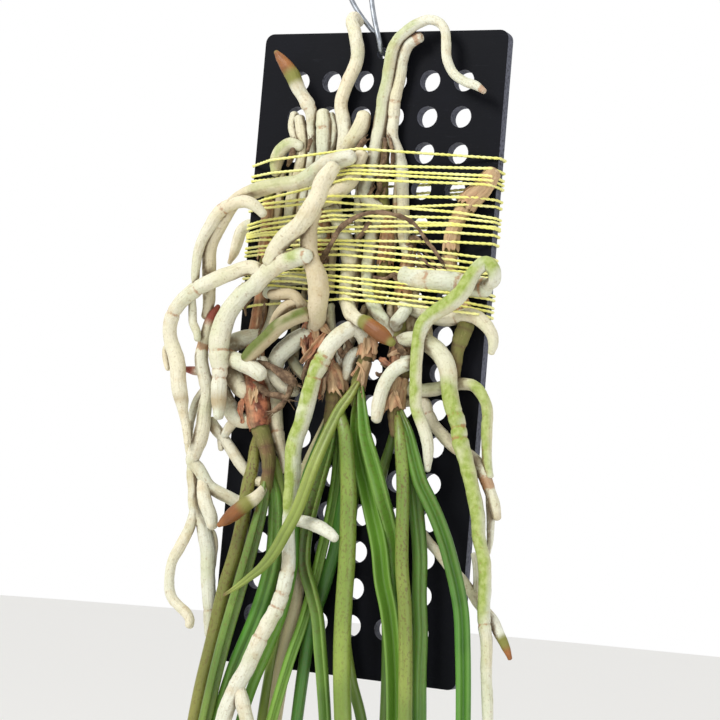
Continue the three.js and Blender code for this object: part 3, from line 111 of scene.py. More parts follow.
# Faces round a strand, the wall of dry paper and how near points of the plate are merged
ROUND_SIDES = 14
PAPER_THICK = 0.25
SEAM = 0.01 * MM
# How far apart the branches of a root lie in its pattern, and how far frayed fibres fan out
BRANCH_STEP = 0.1
FRAY_SPREAD = 0.35

# Where chance starts for each kind of piece
STEM_SEED, ROOT_SEED, LEAF_SEED, DRY_SEED = 100, 200, 300, 400
SHEATH_SEED, HUSK_SEED, SCRAP_SEED, SHRED_SEED = 7, 9, 5, 6
NOOK_SEED = 11
TWINE_SEED = 4.0

# Where the viewer stands, level, and the side of a root that greens first
VIEWER = (0.4226, -0.9063, 0.0)
SUNNY_SIDE = (-0.5, -0.3, 0.8)

Route = Sequence[Sequence[float]]
Chance = np.random.Generator
Piece = bpy.types.Object
Mesh = bpy.types.Mesh
Tree = bpy.types.NodeTree
Socket = bpy.types.NodeSocket


def read_routes(text: str) -> list[tuple[list[str], list[Route]]]:
    """Reads a table of routes.

    Args:
        text: Rows of labels, a colon and points with commas between. A bar starts another
            branch, and a semicolon ends a row. A point that leaves out its last numbers has
            those of the point before it.

    Returns:
        For each row its labels and its branches.
    """
    rows = []
    for entry in text.split(";")[:-1]:
        labels, places = entry.split(":")
        branches: list[Route] = []
        for branch in places.split("|"):
            route: list[list[float]] = []
            for point in branch.split(","):
                numbers = [float(number) for number in point.split()]
                route.append(numbers + route[-1][len(numbers):] if route else numbers)
            branches.append(route)
        rows.append((labels.split(), branches))
    return rows


# Routes, as in the CAD: x, z, stand off the plate and girth
ROOTS = {label[0]: branches for label, branches in read_routes("""
root_pointed: -21 31 4 4,-25.5 38 3,-27.5 48 2.8,-27 59,-26 70 2.8 3.6,-26 79 3,-27 84 3.6 3.7,
-28 89.5 5 4.4,-29.5 92 5.8 5.8,-32 96 6.6 4.8,-36 102 8 6,-40 107 8.6 5.6,-43.5 111 9 3.6,
-45.2 113 9 1.6;
root_top_fork: -18.5 54 4 5,-16 61 3.6 5.6,-13.5 69 3.6 6,-12 77 4 6.2,-12.5 82 4 5.6,
-14.3 87 4 5.4,-15.4 93 4 5.2,-13.4 101.5 4 5,-10.7 108.5,-10.4 114 4.2,-12.4 119.6 4,
-14.3 124.4 1.6 4.8,-13 126 -2 4.4,-10.8 123.6 -6 3.8|-12 76 4 6.4,-8.3 80.5 4.4 6.6,
-6.3 84.5 4.6 6.4,-5.5 88 4.6 5.6;
root_arch: 4 53 4 5,-1 56.5 3.4 5.2,-2.6 61 3.2 5.4,-0.8 67,0 73,1.2 84,2 92 3.4 5.2,
2.8 100 4.4 5,3.4 108 5.4 4.8,4 113 6 4.6,6.2 117.5 6.4 4.4,10.3 121 6.8 4.2,14.2 123.2 7 3.9,
17.7 124.2 7 3.7,21.4 123.3 7 3.6,24.2 120.4,25.4 116 6.8,26.2 110 6.6,29.2 104.3 6.4,34.3 100.6,
38.6 99.2 6.6 3.4,42 97.4 6.8 2;
root_beside_arch: 17 37 4.4 4.4,14.6 44 3 4.8,13.7 52 2.9,13.2 60 2.9 4.6,11.8 69 2.9 4.8,
9.6 74.5 2.9 4.6,7.2 79.5 2.9 4.4,6.8 86,7 94.6 3,8 101.5 3.2,8.2 108 3.6,9.2 112.4 4,
11 115.4 4.2 4.2,14.6 117.6 4.4 4;
root_column_pale: 6 50 4 4.6,2.6 46 3.2 5,2 40 3.2 5.2,1.6 33,2 26 3.4,3.4 19.5 4.6 5.4,
5.8 15.6 6,8 13.2 6.6 5.2,10.8 11 6.6 4.4,13 8 6 4.2,16 3 5 4|16 8.5 5 4.4,14.6 10.8 8 4.6,
16.6 13.2 9 4.8,18.6 16.4 8.4 4.6;
root_group_left: -42 3 5 4,-38.5 6 4 4.2,-36.4 12 3,-35.6 20 2.8,-35 30,-34.4 40,-33 50,-31.6 60,
-30.2 70 2.8 4.4,-30 77 3 4.2,-31 82.5 3.2 4.4,-32.3 87.2 3.6 4|-30.6 73 3 3.6,-33.4 79,-35.4 84,
-34.8 88.6|-31 76.5 4.5 4,-35.5 77.4 5 5,-39.2 75 5 5.4,-41 70.5 4.4 5.2,-41 66 4 3.6;
root_stout: -19 42 4.4 4.6,-22.8 50 3.4 5,-23.4 58 3.4 5.2,-21.8 66 3.4 5.6,-21 74 3.4 5.8,
-21.6 80 3.6,-22.4 86 3.8,-22.9 89 3.8 5|-21.5 70 3.4 3.2,-18 76 2.6,-17 80 2.6 3,-17.2 84.5,
-19 88.6 2.6 2.6;
root_crossing: -19.5 55 6 4.8,-16.4 57 9 5.6,-12.6 60 9.6 6,-8.8 64 9.4 5.8,-7 68.6 9 5.6,
-5 73.4 8 5;
root_brown_tip: -18.4 55 4 4.6,-14.4 51 4.6 5.6,-12 47 4.4 5.8,-8.8 41 4 6,-6.4 35 3.8 6.6,
-5.9 31.6 3.8 6,-6.4 27 3.8 5.6,-6.2 22 4.4,-5.6 17 7 5.4,-3.8 13 10 5.2,-1 11.2 12.4 4.8,
2.4 10.4 13.6 5.6,5.4 8.8 14.2 6.2,8.6 6.6 14.6 6,11.4 4.6 14.8 4.8,13.6 3.2 15 2.6;
root_grey_bound: -19 27 4.6 4,-24 26 7.6 4.4,-28 25.6 8 4.6,-33.6 24.8 8 4.8,-38 22.8 7.6 4.6,
-40 19.6 7 4;
root_middle: -18.6 7.5 8 5,-18 11.5 12 6.6,-17.9 16 15 7.4,-18 20.5 15.8 7.8,-18.8 25 16,
-20.2 29 16 7.6,-22.4 33 15.8 6.8,-23.8 37 15.6 6.4,-24.2 42 15.4 6.2,-24 47 15.2 5.6,
-22.6 52 15.4 5;
root_fork_left: -16.6 68.4 21.6 5.6,-18.4 65.2 21.8 6.6,-20.4 62 21.8 6.8,-22 56.6 21.6,
-25 51.2 21.4,-29.2 46 21,-34 41.6 20 6.6,-37.6 37 18.6 6.4,-39.5 32 17.6|-24.6 34.6 20 5.6,
-27.6 34.4 18.6 6.8,-31.4 33.2 17.6 7,-35.4 31.6 17.2,-39 29.2 17,-42.4 26,-45.2 22.6 17 6.6,
-48.2 20.8 17 6.4,-50.4 19 17 6.8,-53.2 15.4 17 7.2,-55.6 11.6 17 7.4,-57.4 7.4 17 7.8,
-58.3 3 17 8,-58.5 -1.6,-58 -5.8 17 7.8,-57.5 -10 17 6.4,-57.5 -13.4 17 5.4,-57.2 -17 17 6.2,
-56.8 -21.4 17 5.8,-56.3 -25.4 17 4.8,-56.1 -28.2 17 3.8|-43 27 17 5.4,-47 29.4 18,
-51 29 18.6 5.6,-56.2 26.8 19 5.8,-61.8 24.6,-66 22.8,-70.4 20.4,-74.4 17.4 19 5.6,
-77.6 14.2 19 5.4,-79.8 10.6 18.6,-80.8 6.6 18 5.3,-80.6 2.6 17.6,-79.2 -1.6 17 5.6,
-77.2 -5.6 17 5.8,-75.7 -10 17 6,-75 -14.6,-74 -19 17 5.8,-72.8 -22.6 17 5.4,-72 -26 17 4,
-71 -30 17 3.4,-70 -34 17 3.2,-68.8 -39 16.4 2.8|-78.6 -1 15 3,-81.6 -3.4 14.6 3.2,-81.4 -7,
-80.2 -11 14.6 2.8|-72.6 17 17 3,-71.6 12 15.6 3.2,-70.8 7.6 15.2,-69 4 15 3,-68.4 1 15 2.6;
root_outer_left: -9.6 72.4 14.4 5.4,-13.6 71.6 14.6 6.6,-18.6 70.4 14.8,-22.6 68 15 6.4,
-26.4 65.2 15.4 6.2,-30.8 63 16 5.6,-37.8 62,-45.4 60.4 16 5.8,-51 58.2,-56.6 55.2 16 5.6,
-61.6 48.4,-64.8 42.4 15.6 5.4,-66.2 36 15 5.2,-66 29 13.6,-65.2 22 11.6 5,-64.6 16 11 4.8,
-65.4 10 11 4|-44.8 50.2 20 3.2,-48.4 53.2 20.6 4.6,-52.7 54.6 20.8 4.8,-57.3 53.8,-62 51.8 20.6,
-65.5 48.6 20.4 4.6,-68.2 44 20 4.4,-70 39.5 19.6 4.2,-71.4 34.4 19 3.8,-71.8 28.6 18.6 3.5,
-71.8 24.6 18.2 3.2,-72.3 21.8 18 1.6;
root_through_hole: -36 47 3.6 4,-33.4 47.2 0 3.8,-31.4 46.6 -5,-37.5 47.2 -8 4.2,
-44 46.6 -8.4 4.4,-50 45.8 -8.4 4.6,-53.2 43.6 -8,-54.8 39 -7.4 4.4,-56.1 34.4 -7 3.6,
-57.4 31 -7 1.6;
root_striped: -18 11.6 8 4.6,-22 12.6 13.2 5.4,-25.8 11.4 15.4 5.8,-30 9.4 16,-34.4 6.6,
-37.4 3.6 16 5.6,-40.8 0.4,-43.8 -2.6,-46 -5.4 16 5|-19 9 6 4,-22.6 13.6 10.4 4.4,
-26 17.2 12.2 4.6,-28.6 19.4 12.6 4.4,-33.2 19.6 12.8,-38 19.2 12.8 3.8|-25.6 17 12.2 4,
-29.8 15.6 12.2 4.6,-32.6 13.2 11.8,-34.4 10.8 11.2 4.2,-35.6 8 10.4 3.8;
root_thick_low: -17 5.6 6 5,-21.6 5 7.6 6,-25 3.2 8.2 6.4,-28 0.4 8.4 6.6,-31 -2.4,
-33 -5.4 8.2 6.4,-33.4 -9.4 7.8 6,-31.4 -13.6 7 5.4,-28 -16 6.4 5,-24.4 -16.6 6.2 4.4;
root_straight_low: -42 -5 5 5,-38.6 -7.6 4.8 5.8,-36.4 -10.6 4.6 6,-34.4 -14 3.8,-33 -19 3.6,
-32.2 -25 3.6 5.8,-30.8 -30.6 3.6 5.6,-29.6 -34.4 3.6 5,-28.2 -38.4 3.4 4.4,-27 -42.4 3 3.8,
-25.8 -47 2.6 2.4;
root_elbow_left: -42 4 5 5.6,-45.4 2.8 6 6.4,-49 1.8 7 6.8,-52.8 0.2 8 7,-55.4 -3 9 7.2,
-54.8 -7 9.4 7.4,-52.5 -10.4 9.6,-50 -14,-47.6 -17 9.4 6.8,-45.6 -18.6 9.2 5.4 |-55 -4.4 10 5.6,
-52.2 -6 13.4 6.2,-48.4 -7.2 14.8 6.4,-43.6 -9 15.2,-39.8 -11.2 15.2 6;
root_low_left: -39.4 -27 7 5,-43.6 -29 7.4 5.8,-47.6 -28.4 8 6.4,-51 -24.8 8.6,-53.6 -20.8 9 6.2,
-56.2 -17 9 5.6,-59 -14 9 4.6|-47.4 -28.6 8 3.8,-50.8 -31.6 7,-52.6 -35 5.6 3.4;
root_diagonal: -34.4 -52 7 4,-38.4 -51.4 3.6 4.2,-41.6 -48.8 3.6 4.4,-46 -44.2 4,-49.6 -40.2 4.4,
-53.2 -36.4 5,-56.6 -33 6,-59 -30 6.6 4|-54 -35.4 5.4 2.8,-54.4 -37.6,-54 -40.6 5.4 2;
root_knee_left: -33.6 -55 7 4.4,-37.4 -58 4 4.6,-41.4 -60 3.8 4.8,-45.4 -59.6 4.4,-49 -58.2 5.4,
-53 -56.8 6.6,-56.8 -55 8,-59.8 -52.2 9.4,-62.6 -49 10.4,-65.6 -46.2 11 5,-65 -43 11.4 5.6,
-63.4 -38 11.4 5.8,-62.7 -33 11.4 5.6,-62.5 -28.4 11.4 5.4,-62 -24.6 11.2,-61.6 -20 11 5.2,
-63 -15.4 11 5.4,-64.6 -11.6,-65.8 -8,-66.1 -4.6 11 5,-65.8 -1.6 11 4.2,-65.3 1.4 11 4.6,
-64.6 4.6,-63.8 7.8 11 4.2,-62.4 11 11 3.4,-60.5 14 11 1.6 |-64.8 -10.6 11 3.6,-68 -11.2 11 3.8,
-71.4 -11 11 2.6,-74.8 -10.8 11 1|-62.4 -17.6 10 3.4,-64.6 -20 9 3.6,-66.4 -22.6 8.8,
-67.8 -27 8.8 3.4,-68.4 -32 9 3.2,-68.3 -38 9.6,-66.6 -44.4 10.4|-65.4 -46.6 10.4 3.8,
-65.2 -52 9.4 3.9,-64.3 -57.4 9,-63.8 -61,-62.6 -64.6 9 4,-60.8 -67.4 8.6 4.4,-58.6 -69.8 8 5.2,
-57 -74 7.4 5.6,-55.8 -79 7,-55 -84 6.6,-54.2 -90 6,-53.5 -95 5.6 5.4,-52.7 -100.4 5 5.2,
-52.2 -106 4.4 4.8,-52 -111 4 3 |-62.9 -64 9 3.6,-63.6 -68 10 4,-64.6 -72 10.4 4.2,
-66.6 -76.6 10.6 4.4,-68.9 -81 10.6 4.3,-70.5 -84.6 10.6 4.1,-71.2 -88.6 10.6 3.9,-71.1 -93,
-70.5 -96.6,-68.8 -99.4,-65.8 -101.8,-62.8 -104 10.6 4,-61 -106.6 10.6 3.8,-60.9 -108.4 10.6 3.2|
-60.4 -52.6 9.4 4,-59.6 -57 10.8 5,-57.8 -62 12 5.2,-56 -66 12.6,-54.8 -69.8 12.8 4.2|
-58.4 -70.4 6.4 2.6,-54.4 -72.6 4.6 2.8,-53 -77 4,-52.8 -83 4 2.6,-52.8 -88 4 2;
root_tip_left: -34.4 -54.4 9.6 3.6,-37.6 -58 14.8 5,-41.4 -61.2 16.6 5.4,-45.8 -64.4 17.2 5.6,
-49.2 -67.2 17.2 4.2,-51.8 -69.2 17 1.8;
root_long_front: 2.6 3 6 4.6,0.6 6.4 8.4 5.4,-2.2 8 10 6,-6 6.4 12 6.2,-9.8 3.4 13.4,
-12.2 0.4 14.2,-13.8 -3 14.8 6.4,-15.6 -7 15.2 6.2,-17.2 -11 15.6 6,-18.2 -16 16 6.2,-19.2 -23,
-20.4 -29.4,-22 -34.4 16 6,-22.8 -40 16 6.2,-22.6 -47,-22.4 -54 16 5.6,-22.5 -62 16 5.2,
-22 -70 16 5,-21.2 -77,-21 -84 16.4 5.2,-21.9 -90.6 17 5.4,-24.3 -97.6 17.4 5.8,-27.2 -104 17.8,
-30.6 -112 18,-35 -121.8 18 6,-39.4 -131.6 18 6.2,-42 -140,-43.6 -150 18 5.6,-44.6 -160 18 4.6,
-45 -167 18 3|-37 -130 18 4.6,-35.4 -134 18.6 5.4,-33.6 -138.4 19,-31.6 -144 19 5,
-30.4 -149 19 3.2|-22 -64.6 15.4 4.2,-17.8 -65 14.4 4.6,-13.2 -65.5 14.6 4.8,-8.7 -66.6 16,
-5 -68.4 17 4.6,-2.8 -69.8 17.4 3.6 |2.4 0 6 4,-1.6 -1.4 6.4 4.6,-3.2 -4.4 6.6 5,
-3.4 -7.8 6.6 4.6,-4 -10.4 6.6 3.6;
root_cross_right: 16 28.4 5 5.4,19.6 27.8 4 6.2,24 27.5 3.8 6.6,29.4 27,35 26.7 3.8 6.4,
40.4 26 3.8 6.2,45.8 25.4 3.8 6,49.4 25 4 5.6;
root_green_right: 48.6 25.2 5 4.4,52.2 28 9 4.6,51.4 32 10.6 5,48.4 33.9 11 5.4,45 31.6 11.6,
42.6 28 12 5.6,41 24.4 12.2 5.8,38.2 21 12.4 6,34.6 18.2 12.6,30.8 15.8 12.8,27.4 13 13 5.6,
25.2 9.6 13 5.2,24.3 5.6 13 4.8,24.2 0 13 4.6,24.5 -6.6,24.9 -13 13 4.5,25.8 -19.2 12.8 4.4,
27.8 -24.2 12.4,30 -29 11.8 4.6,31.4 -33.6 11 4.4,31.9 -38 10.4 3.8,32 -42 10 2.4;
root_over_edge: 16.6 17.4 5 4.6,21.2 16.2 3.6 5.4,26 15 3.4,30.6 13.4,34.4 12.9,38.8 13.7 3.6,
42.8 14.6 4.4,46.8 14.2 5.2 5.2,50.6 11.4 5.6 4.8,53 8 5.4 4.2,53.6 4.6 5 3.8,53.2 1.8 4.8 2.4;
root_long_right: 16.6 3.6 6 5,20.2 4.8 7.6 5.6,26.6 4.4 8 6.2,31.2 2.2 8 6.4,34.8 -1.4 8 6.5,
36.8 -6 8 6.4,37.9 -11.6 8 6.3,39.4 -17.2 8 6.2,41.2 -21.8 8 6,42.7 -26 8 5.8,44.1 -30.6,
46.1 -35.6 8 5.6,48.3 -41.6 8 5.5,50.1 -47 8 5.2,51.9 -53,53.2 -58.4 8 5,54.2 -64,56 -70 8 4.8,
57.4 -76 8 4.6,58 -82,58.4 -88.4 8 4.5,59.2 -95.2,60.4 -103 8 4.4,61 -113 8 4.2,63 -127 8 4,
64.4 -138 8 3.4,65 -145 8 2;
root_elbow_right: 18 -12 6 4.4,21.8 -13.4 5 5.2,27.2 -13.6 3.8 5.4,31.8 -12.8 3.4 5.2,
37 -11.2 3 4.8,41.8 -10.5 2.9 4.4,46.2 -10.6 3 4.3,50 -12.6 3.4,52.5 -16.2 4 4.2,53.5 -20.4,
53.8 -26 4 4,54 -31.6,55 -37 4 3.8,56.6 -42.4 4 3;
root_back_right: 18 -19 5.6 3.8,22.6 -18 3 4,28.4 -17.8 2.8 4.2,30.6 -21.6 2.7 4.4,
33.6 -26 2.8 4.6,38 -30.4,42.4 -33.4,47 -35.4,50.9 -37.9 3 4.7,54.2 -42.2 3.4 4.6,
56.6 -47.6 3.8 4.4,59 -52.4 4 4.2,60.4 -57 4 3|56.8 -48 3.8 3.2,57.4 -54 2.8,58.2 -60 2.4 3,
58.8 -65 2.2 2.6,58.4 -70 2 1.8;
root_curved: 18.6 -3 6.6 4.6,21 -4 10.6 5,18.2 -5 12 5.2,15.2 -7.2 12.6,13 -10.2 12.8,11.5 -13.8,
10.6 -17.2 12.6,10.1 -20.8 12.2 5,9.8 -25 11.8 4;
root_far_right: 31.5 -64 5.4 3,36 -68.6 3 3.4,41.4 -73.6 2.8 3.6,46 -77.6 3 3.8,50.6 -82,
54.6 -86.4,58.6 -90.4 3.4 4,62.6 -94 4,65.4 -98.4 4.4 3.8,68.2 -103 4.6 3,69.8 -106 4.6 1.6 |
54 -86 3 2.6,54.6 -82 2.6,54 -76.6 2.4,52.8 -71 2.2 2.2;
""")}

STEMS = {label[0]: branches[0] for label, branches in read_routes("""
stem_left: -42.6 60 2.8 4,-42.4 50 2.8 4.2,-42.2 38 3,-42 24 3.4 4.4,-42.4 10 4 4.8,-43 -2 5 5.4,
-42.6 -12 6 6.8,-40.8 -18 7 8.2,-39.2 -24 7.6 9,-38.2 -30.6 8 7.4,-36.4 -34 8 6.6,-34.6 -38 8 6.4,
-33.2 -42 8 5.6,-32.7 -47 8 5,-33 -53 8 4.6,-33.4 -57 8 4;
stem_middle: -18.6 58 2.9 4.2,-18.6 46 3 4.6,-18.6 34 3.2 4.8,-19 22 3.6 5.2,-18.4 10 4.6 6,
-16.2 1 5.6 6.6,-11.8 -6.4 6.4,-8.2 -12 6.8 7.4,-7.2 -18.6 7 7.6,-7.6 -23.4 7 6.6,-8.4 -28 7 5.4;
stem_centre: 4.4 78 2.4 3.2,4.6 68 2.5 3.6,5 58 2.8 4.2,8 47 3 4.6,8.4 36 3 4.8,7.6 24 3.2 5,
5.4 12 4 5.4,4.2 3 5 6,3.2 -4 5.8 5.2,1.8 -10 6.4 4.8,0.9 -15 6.8 4.6,1.4 -20 7 4;
stem_right: 18.2 42 2.6 3.8,17.4 32 2.9 4.4,16.6 20 3.4 5.2,16.4 8 4.4 6.2,17.4 -1 5.4 6.6,
18.6 -8 6.2 6.4,17.8 -14 6.8,17.5 -20 7 6.2,17.8 -26 7 5.4,18.6 -30 7 4.4;
stem_far_right: 48 67 3.6 5.4,44.6 61.4 3.6 5.8,39.6 56.4 3.4 6,36 50.8 3.2 5.6,34 45 3 5.2,
33.7 38,35 31 2.6 4,38 24,41 17 2.8 4.4,42.4 11 3.4 5.8,41 6.4 4 6.2,40 1.4 4 4.8,40 -4 3.6 4,
40.2 -8.6 3.2 3;
""")}

# Each leaf with the direction that its groove faces, in degrees from the back, and its looks
LEAVES = {label[0]: (label[1:], branches[0]) for label, branches in read_routes("""
leaf_left_outer 200 round olive 0.85 speckle 0.9 brown 0.4: -38.4 -33 7 2.6,-39.3 -38.6 5.6 4,
-39.4 -46 6 4.8,-40.8 -53 7 5,-41.6 -66 8 5.2,-43.6 -79 8 5.4,-47 -93,-50 -112,-53.6 -133 8 5.2,
-56.4 -160 8 5,-59 -200 7 4.8,-60 -250 6 4.2,-60 -300 5 3.4,-59 -338 4 1.6;
leaf_left_second 70 grooved olive 0.4 dark 0.3 speckle 0.5: -33.4 -52 9 3,-33.6 -58 11 4.4,
-35.2 -67 12.6 5.4,-37.6 -79 13 5.8,-41 -94,-45 -112,-48.4 -131 13 5.6,-52.4 -160 13 5.2,
-55 -200 12 5,-56 -250 11 4.6,-55.4 -310 10 3.8,-54 -362 9 1.6;
leaf_left_third 30 round dark 0.25 light 0.1: -32 -48 6 3,-29.4 -55 5.4 5,-27.8 -64 6.4 6,
-27.2 -78 7.4 6.4,-29.2 -91 8.4,-33 -104.6 9,-38.6 -120,-43 -136 9 6,-47.4 -160 8 5.6,
-50 -200 7 5.2,-51.4 -260 6 4.6,-51 -330 5 3.6,-49.6 -386 4 1.6;
leaf_olive_behind 180 grooved olive 0.7 dark 0.3 speckle 0.3: -32 -41 5.6 2.6,-29.4 -45.4 3.6 3.8,
-27.2 -53 3.2 4,-24.8 -62 3.2 4.4,-22.8 -76 3.4 4.8,-22.2 -94 3.6 5,-23.4 -114 4 5.2,
-25.4 -136 4 5,-27.6 -170 3.6 4.8,-28.6 -220 3 4.4,-28 -280 2.4 3.6,-27 -330 2 1.6;
leaf_front 20 round olive 0.95 light 0.2 speckle 0.3: 1 -12.4 10 2.6,-1.6 -17 12 3.6,
-4.8 -21.6 13.4 4,-7.8 -28 15 4.2,-10.4 -34.4 17 4.4,-13.6 -43 20 4.6,-16.4 -52 21.6,
-19.4 -61.4 22.2,-23 -69,-27.4 -77.6 22 4.4,-32 -83.6 21 3.6,-37 -88 19.4 2.8,-42 -92 18.6 2,
-46.8 -95.4 18.4 1;
leaf_grooved 340 folded olive 0.35 dark 0.2 speckle 0.6: -7.6 -25.4 9 3,-7.6 -32 9.6 5,
-9 -39 9.4 5.6,-11 -48 9 5.8,-13.2 -58.6 8.6,-14.8 -70 8.6 5.6,-14.4 -81 9.2,-10.8 -90 10,
-7.4 -99 10.6,-5 -111 11,-2.6 -124 11 5.4,0 -140 11 5.2,3 -170 10 5,5 -220 9 4.6,6 -290 8 3.8,
6 -352 7 1.6;
leaf_old 200 grooved olive 0.4 old 1 speckle 0.3: -9.6 -25.4 5 2.8,-12.4 -33 3.8 3.6,
-15.6 -41 3.4 4,-18 -49 3.2 4.6,-18.8 -60 3.2 5,-17.8 -75 3.6 5.6,-16.8 -93 4.4 6,-18 -106 5 6.2,
-20 -123 5.6 6,-21.4 -145 6 5.4,-22.4 -180 6 4.8,-22.4 -230 5 4,-21.4 -276 4 1.6;
leaf_bright_low 120 round light 0.2: -10.4 -28.6 7 2.6,-13 -36 6.4 3,-16.2 -46 6.4 3.4,
-18.6 -58 7 3.6,-19 -70 8.4 3.8,-18.6 -82 9.4 4,-21 -98 10 4.2,-26 -113.4 10.4 4.4,
-31.4 -128 10.4 4.6,-35.6 -145 10 4.8,-39 -180 9,-41 -240 8 4.2,-41 -310 7 3.4,-40 -360 6 1.6;
leaf_light 60 grooved light 0.5 speckle 0.2: -6.2 -25.4 5 2.6,-4.8 -34 3.4 3.4,-4.2 -46 3.4 4,
-5.2 -60 3.6 4.2,-7.4 -74 4,-9.8 -88 5,-12.8 -102 7,-16.8 -116 10.6,-20.2 -130 12.6,-23.4 -146 13,
-27 -176 13 4,-30 -230 12 3.8,-31.4 -300 11 3.2,-31.4 -344 10 1.6;
leaf_dark_middle 160 grooved dark 0.6 speckle 0.2: -5.2 -21 4.4 2.6,-1.4 -30 3 3.2,-0.2 -44 3 3.8,
-1 -58 3.2 4.4,-2 -72 3.2 4.8,-5 -87 3.4 5,-9 -101 4,-10.6 -116 5,-11.6 -133 5.6,-12.6 -160 6 4.8,
-13.4 -210 6 4.4,-13.4 -280 5 3.8,-12.4 -340 4 1.6;
leaf_centre 175 round olive 0.7 light 0.15 speckle 0.65: -5.6 -22 11 2.8,-4 -26.6 13 4.4,
-2 -32 14 5.2,-0.2 -42 14.4 5.8,1.2 -52 14.4 6.2,2.2 -64 14.4 6.4,3 -78 14.4 6.6,3.2 -92,
3.9 -108 14.4 6.8,5.4 -124,8 -145 14 6.6,11 -180 13 6.2,13 -240 12 5.4,14 -320 11 4.2,
14 -392 10 1.6;
leaf_behind_centre 180 grooved olive 0.4 dark 0.6: 1.6 -16 4 2.6,3.4 -26 3 3.4,3.6 -40 3 4,
3.4 -56 3 4.2,3 -72 3.4,3.2 -90 4,5 -106 4.4,8.6 -120 4.6,14 -134 5,19 -155,23 -195 5 4,
25 -250 5 3.6,25 -312 5 1.6;
leaf_green_pair_a 10 folded light 0.45 speckle 0.2: 1.8 -18 9 2.8,1.4 -25 9.6 3.6,2.6 -34 9.4 4.6,
5 -42 9.2 5.4,8 -50 9.2 5.8,11.6 -60 9.2 6.2,15.4 -71 9.2 6.4,18.2 -84 9.2 6.6,21.4 -94,
24 -106 9.2 6.4,25.8 -118 9.2 6.2,27.4 -134 9.2 6,29.2 -160 9 5.8,31 -210 8 5.2,31.6 -290 7 4.4,
31 -376 6 1.6;
leaf_green_pair_b 350 folded light 0.35 speckle 0.3: 2.6 -14 10 2.6,4 -22 12.6 4,6 -31 14 5,
9 -38.6 14.4 5.6,12.2 -46.4 14.4 5.8,15.2 -54 13,18.6 -62 9.6 5.6,21.6 -71 6.4 5.4,23.6 -82 4.6,
25.8 -95 3.8,27.6 -110 3.6 5.2,29 -128 3.6 5,30.4 -155 3.4 4.8,31.4 -205 3 4.4,31.4 -280 2.4 3.6,
30.4 -340 2 1.6;
leaf_hidden_right 200 round olive 0.3 dark 0.6: 18 -26 4.6 2.6,16.6 -34 3.2 3.4,14.6 -43 2.9 3.8,
13.6 -54 2.8 4,15 -68 2.8 4.2,18.6 -84,21.4 -100,23 -120,24 -150 2.6 4,24.6 -200 2.4 3.6,
24.6 -262 2 1.6;
leaf_speckled_right 170 round olive 0.7 speckle 0.75: 18.6 -24 10 2.8,19.8 -29 12.6 4,
20.8 -35 14 4.8,22.2 -43 14.4 4.9,23.4 -54 14.4 5,24.1 -65 14.4 5.1,25.2 -78 14.4 5.2,
27.6 -92 14.4 5.3,29.2 -106,30.6 -122,32 -140,34 -172 14 5.2,36 -230 13 4.8,37 -310 12 4,
37 -388 11 1.6;
leaf_right_straight 40 round dark 0.3 light 0.1: 19.8 -25 7 2.8,23.4 -33 7.6 4.2,26 -42 7.8 5,
28 -52 8 5.4,30.2 -63 8 5.6,32 -74,33 -88,34.6 -101,35.4 -116,36.8 -131 8 5.4,38.4 -155 8 5.2,
40.4 -200 8 4.8,41 -270 8 4.2,40.4 -350 8 1.6;
leaf_right_outer 30 grooved dark 0.35 light 0.1 speckle 0.25: 19.4 -22 9 2.8,23 -29 11.6 4.2,
26.2 -38 12.6 5,29.8 -47 13 5.4,33.6 -53 13 5.6,37.4 -59.4,41.2 -67,44.4 -75,47.4 -83.4,
49.8 -92.4,51.6 -106,53.2 -122 13 5.4,54.6 -142 13 5.2,56 -175 12 5,57.6 -230 11 4.6,
57.6 -300 10 3.8,56.6 -360 9 1.6;
""")}

DRY = {label[0]: branches for label, branches in read_routes("""
dry_spike: -17.6 34 8.4 2,-15.4 38 12.6,-13.6 41.6 14.4,-11.4 45.4 15,-6.6 49,-2 51 15 1.9,
3.8 51.8 14.8 1.8,9.2 51.2 14.4,14.8 49.8 13.8 1.7,18.6 47.8 13 1.6,21.4 45 12.2 1.5,
24.2 41.6 11.2,27.4 38.4 10.4 1.4,30.4 34.8 9.6 1.2;
dry_strands: -42.8 -13.6 9.4 2.2,-38.8 -16.6 10.8 2.4,-35.2 -18.4 11,-31.2 -18.8,-28 -19.6 11 2|
-26 -13.4 11 2.2,-27 -18 11 2.4,-29.2 -21.8,-32.6 -24.8 11 2|-41 -7 12 2.6,-35.6 -8 12.4 2.8,
-31.4 -10 12.4 3,-28 -12 12 3.4,-24.8 -13.8 11.6 3;
""")}

# The height of each turn of twine at the left edge, the middle and the right edge
(_, (TURNS,)), = read_routes("""
turns: 68.5 74 72.3,64.4 67.2 67.6,62.6 65.6 64.8,59.6 64.4 63.2,53.4 62.6 61.6,52.6 56.2 57,
51 54.4 50.4,45.6 52.6 54.6,44.2 50.6 49,42.2 49 46.6,41.4 45.4 47.2,40.6 43.8 44.2,39.4 39.8 41,
36.6 38.8 35.6,35 37 33.2,33.6 34.6 31,29.4 30.8 30,28 29.2 28.6,26.4 27.6 22.6,25 26 21,
23 24 18.2,21.6 22.2 16.6,13.6 18.2 14.6;
""")

# What the twine binds. In the photograph root_cross_right lies over it
BOUND = """
stem_left stem_middle stem_centre stem_right stem_far_right root_pointed root_top_fork root_arch
root_beside_arch root_column_pale root_group_left root_stout root_crossing root_brown_tip
root_grey_bound root_through_hole root_over_edge
""".split()


class Mark(Enum):
    """What shows on a stretch of a root, with the tone that carries it."""

    GREEN = "green"
    RUST = "rust"
    TIP = "tip"
    PURPLE = "purple"
    BARK = "shade"
    RING = "ring"


def row_origin() -> Vector:
    """The middle of the plate's front face in the row frame, in metres."""
    low, high = (Vector(corner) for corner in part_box("plate"))
    return Vector(((low.x + high.x) / 2, low.y, (low.z + high.z) / 2))


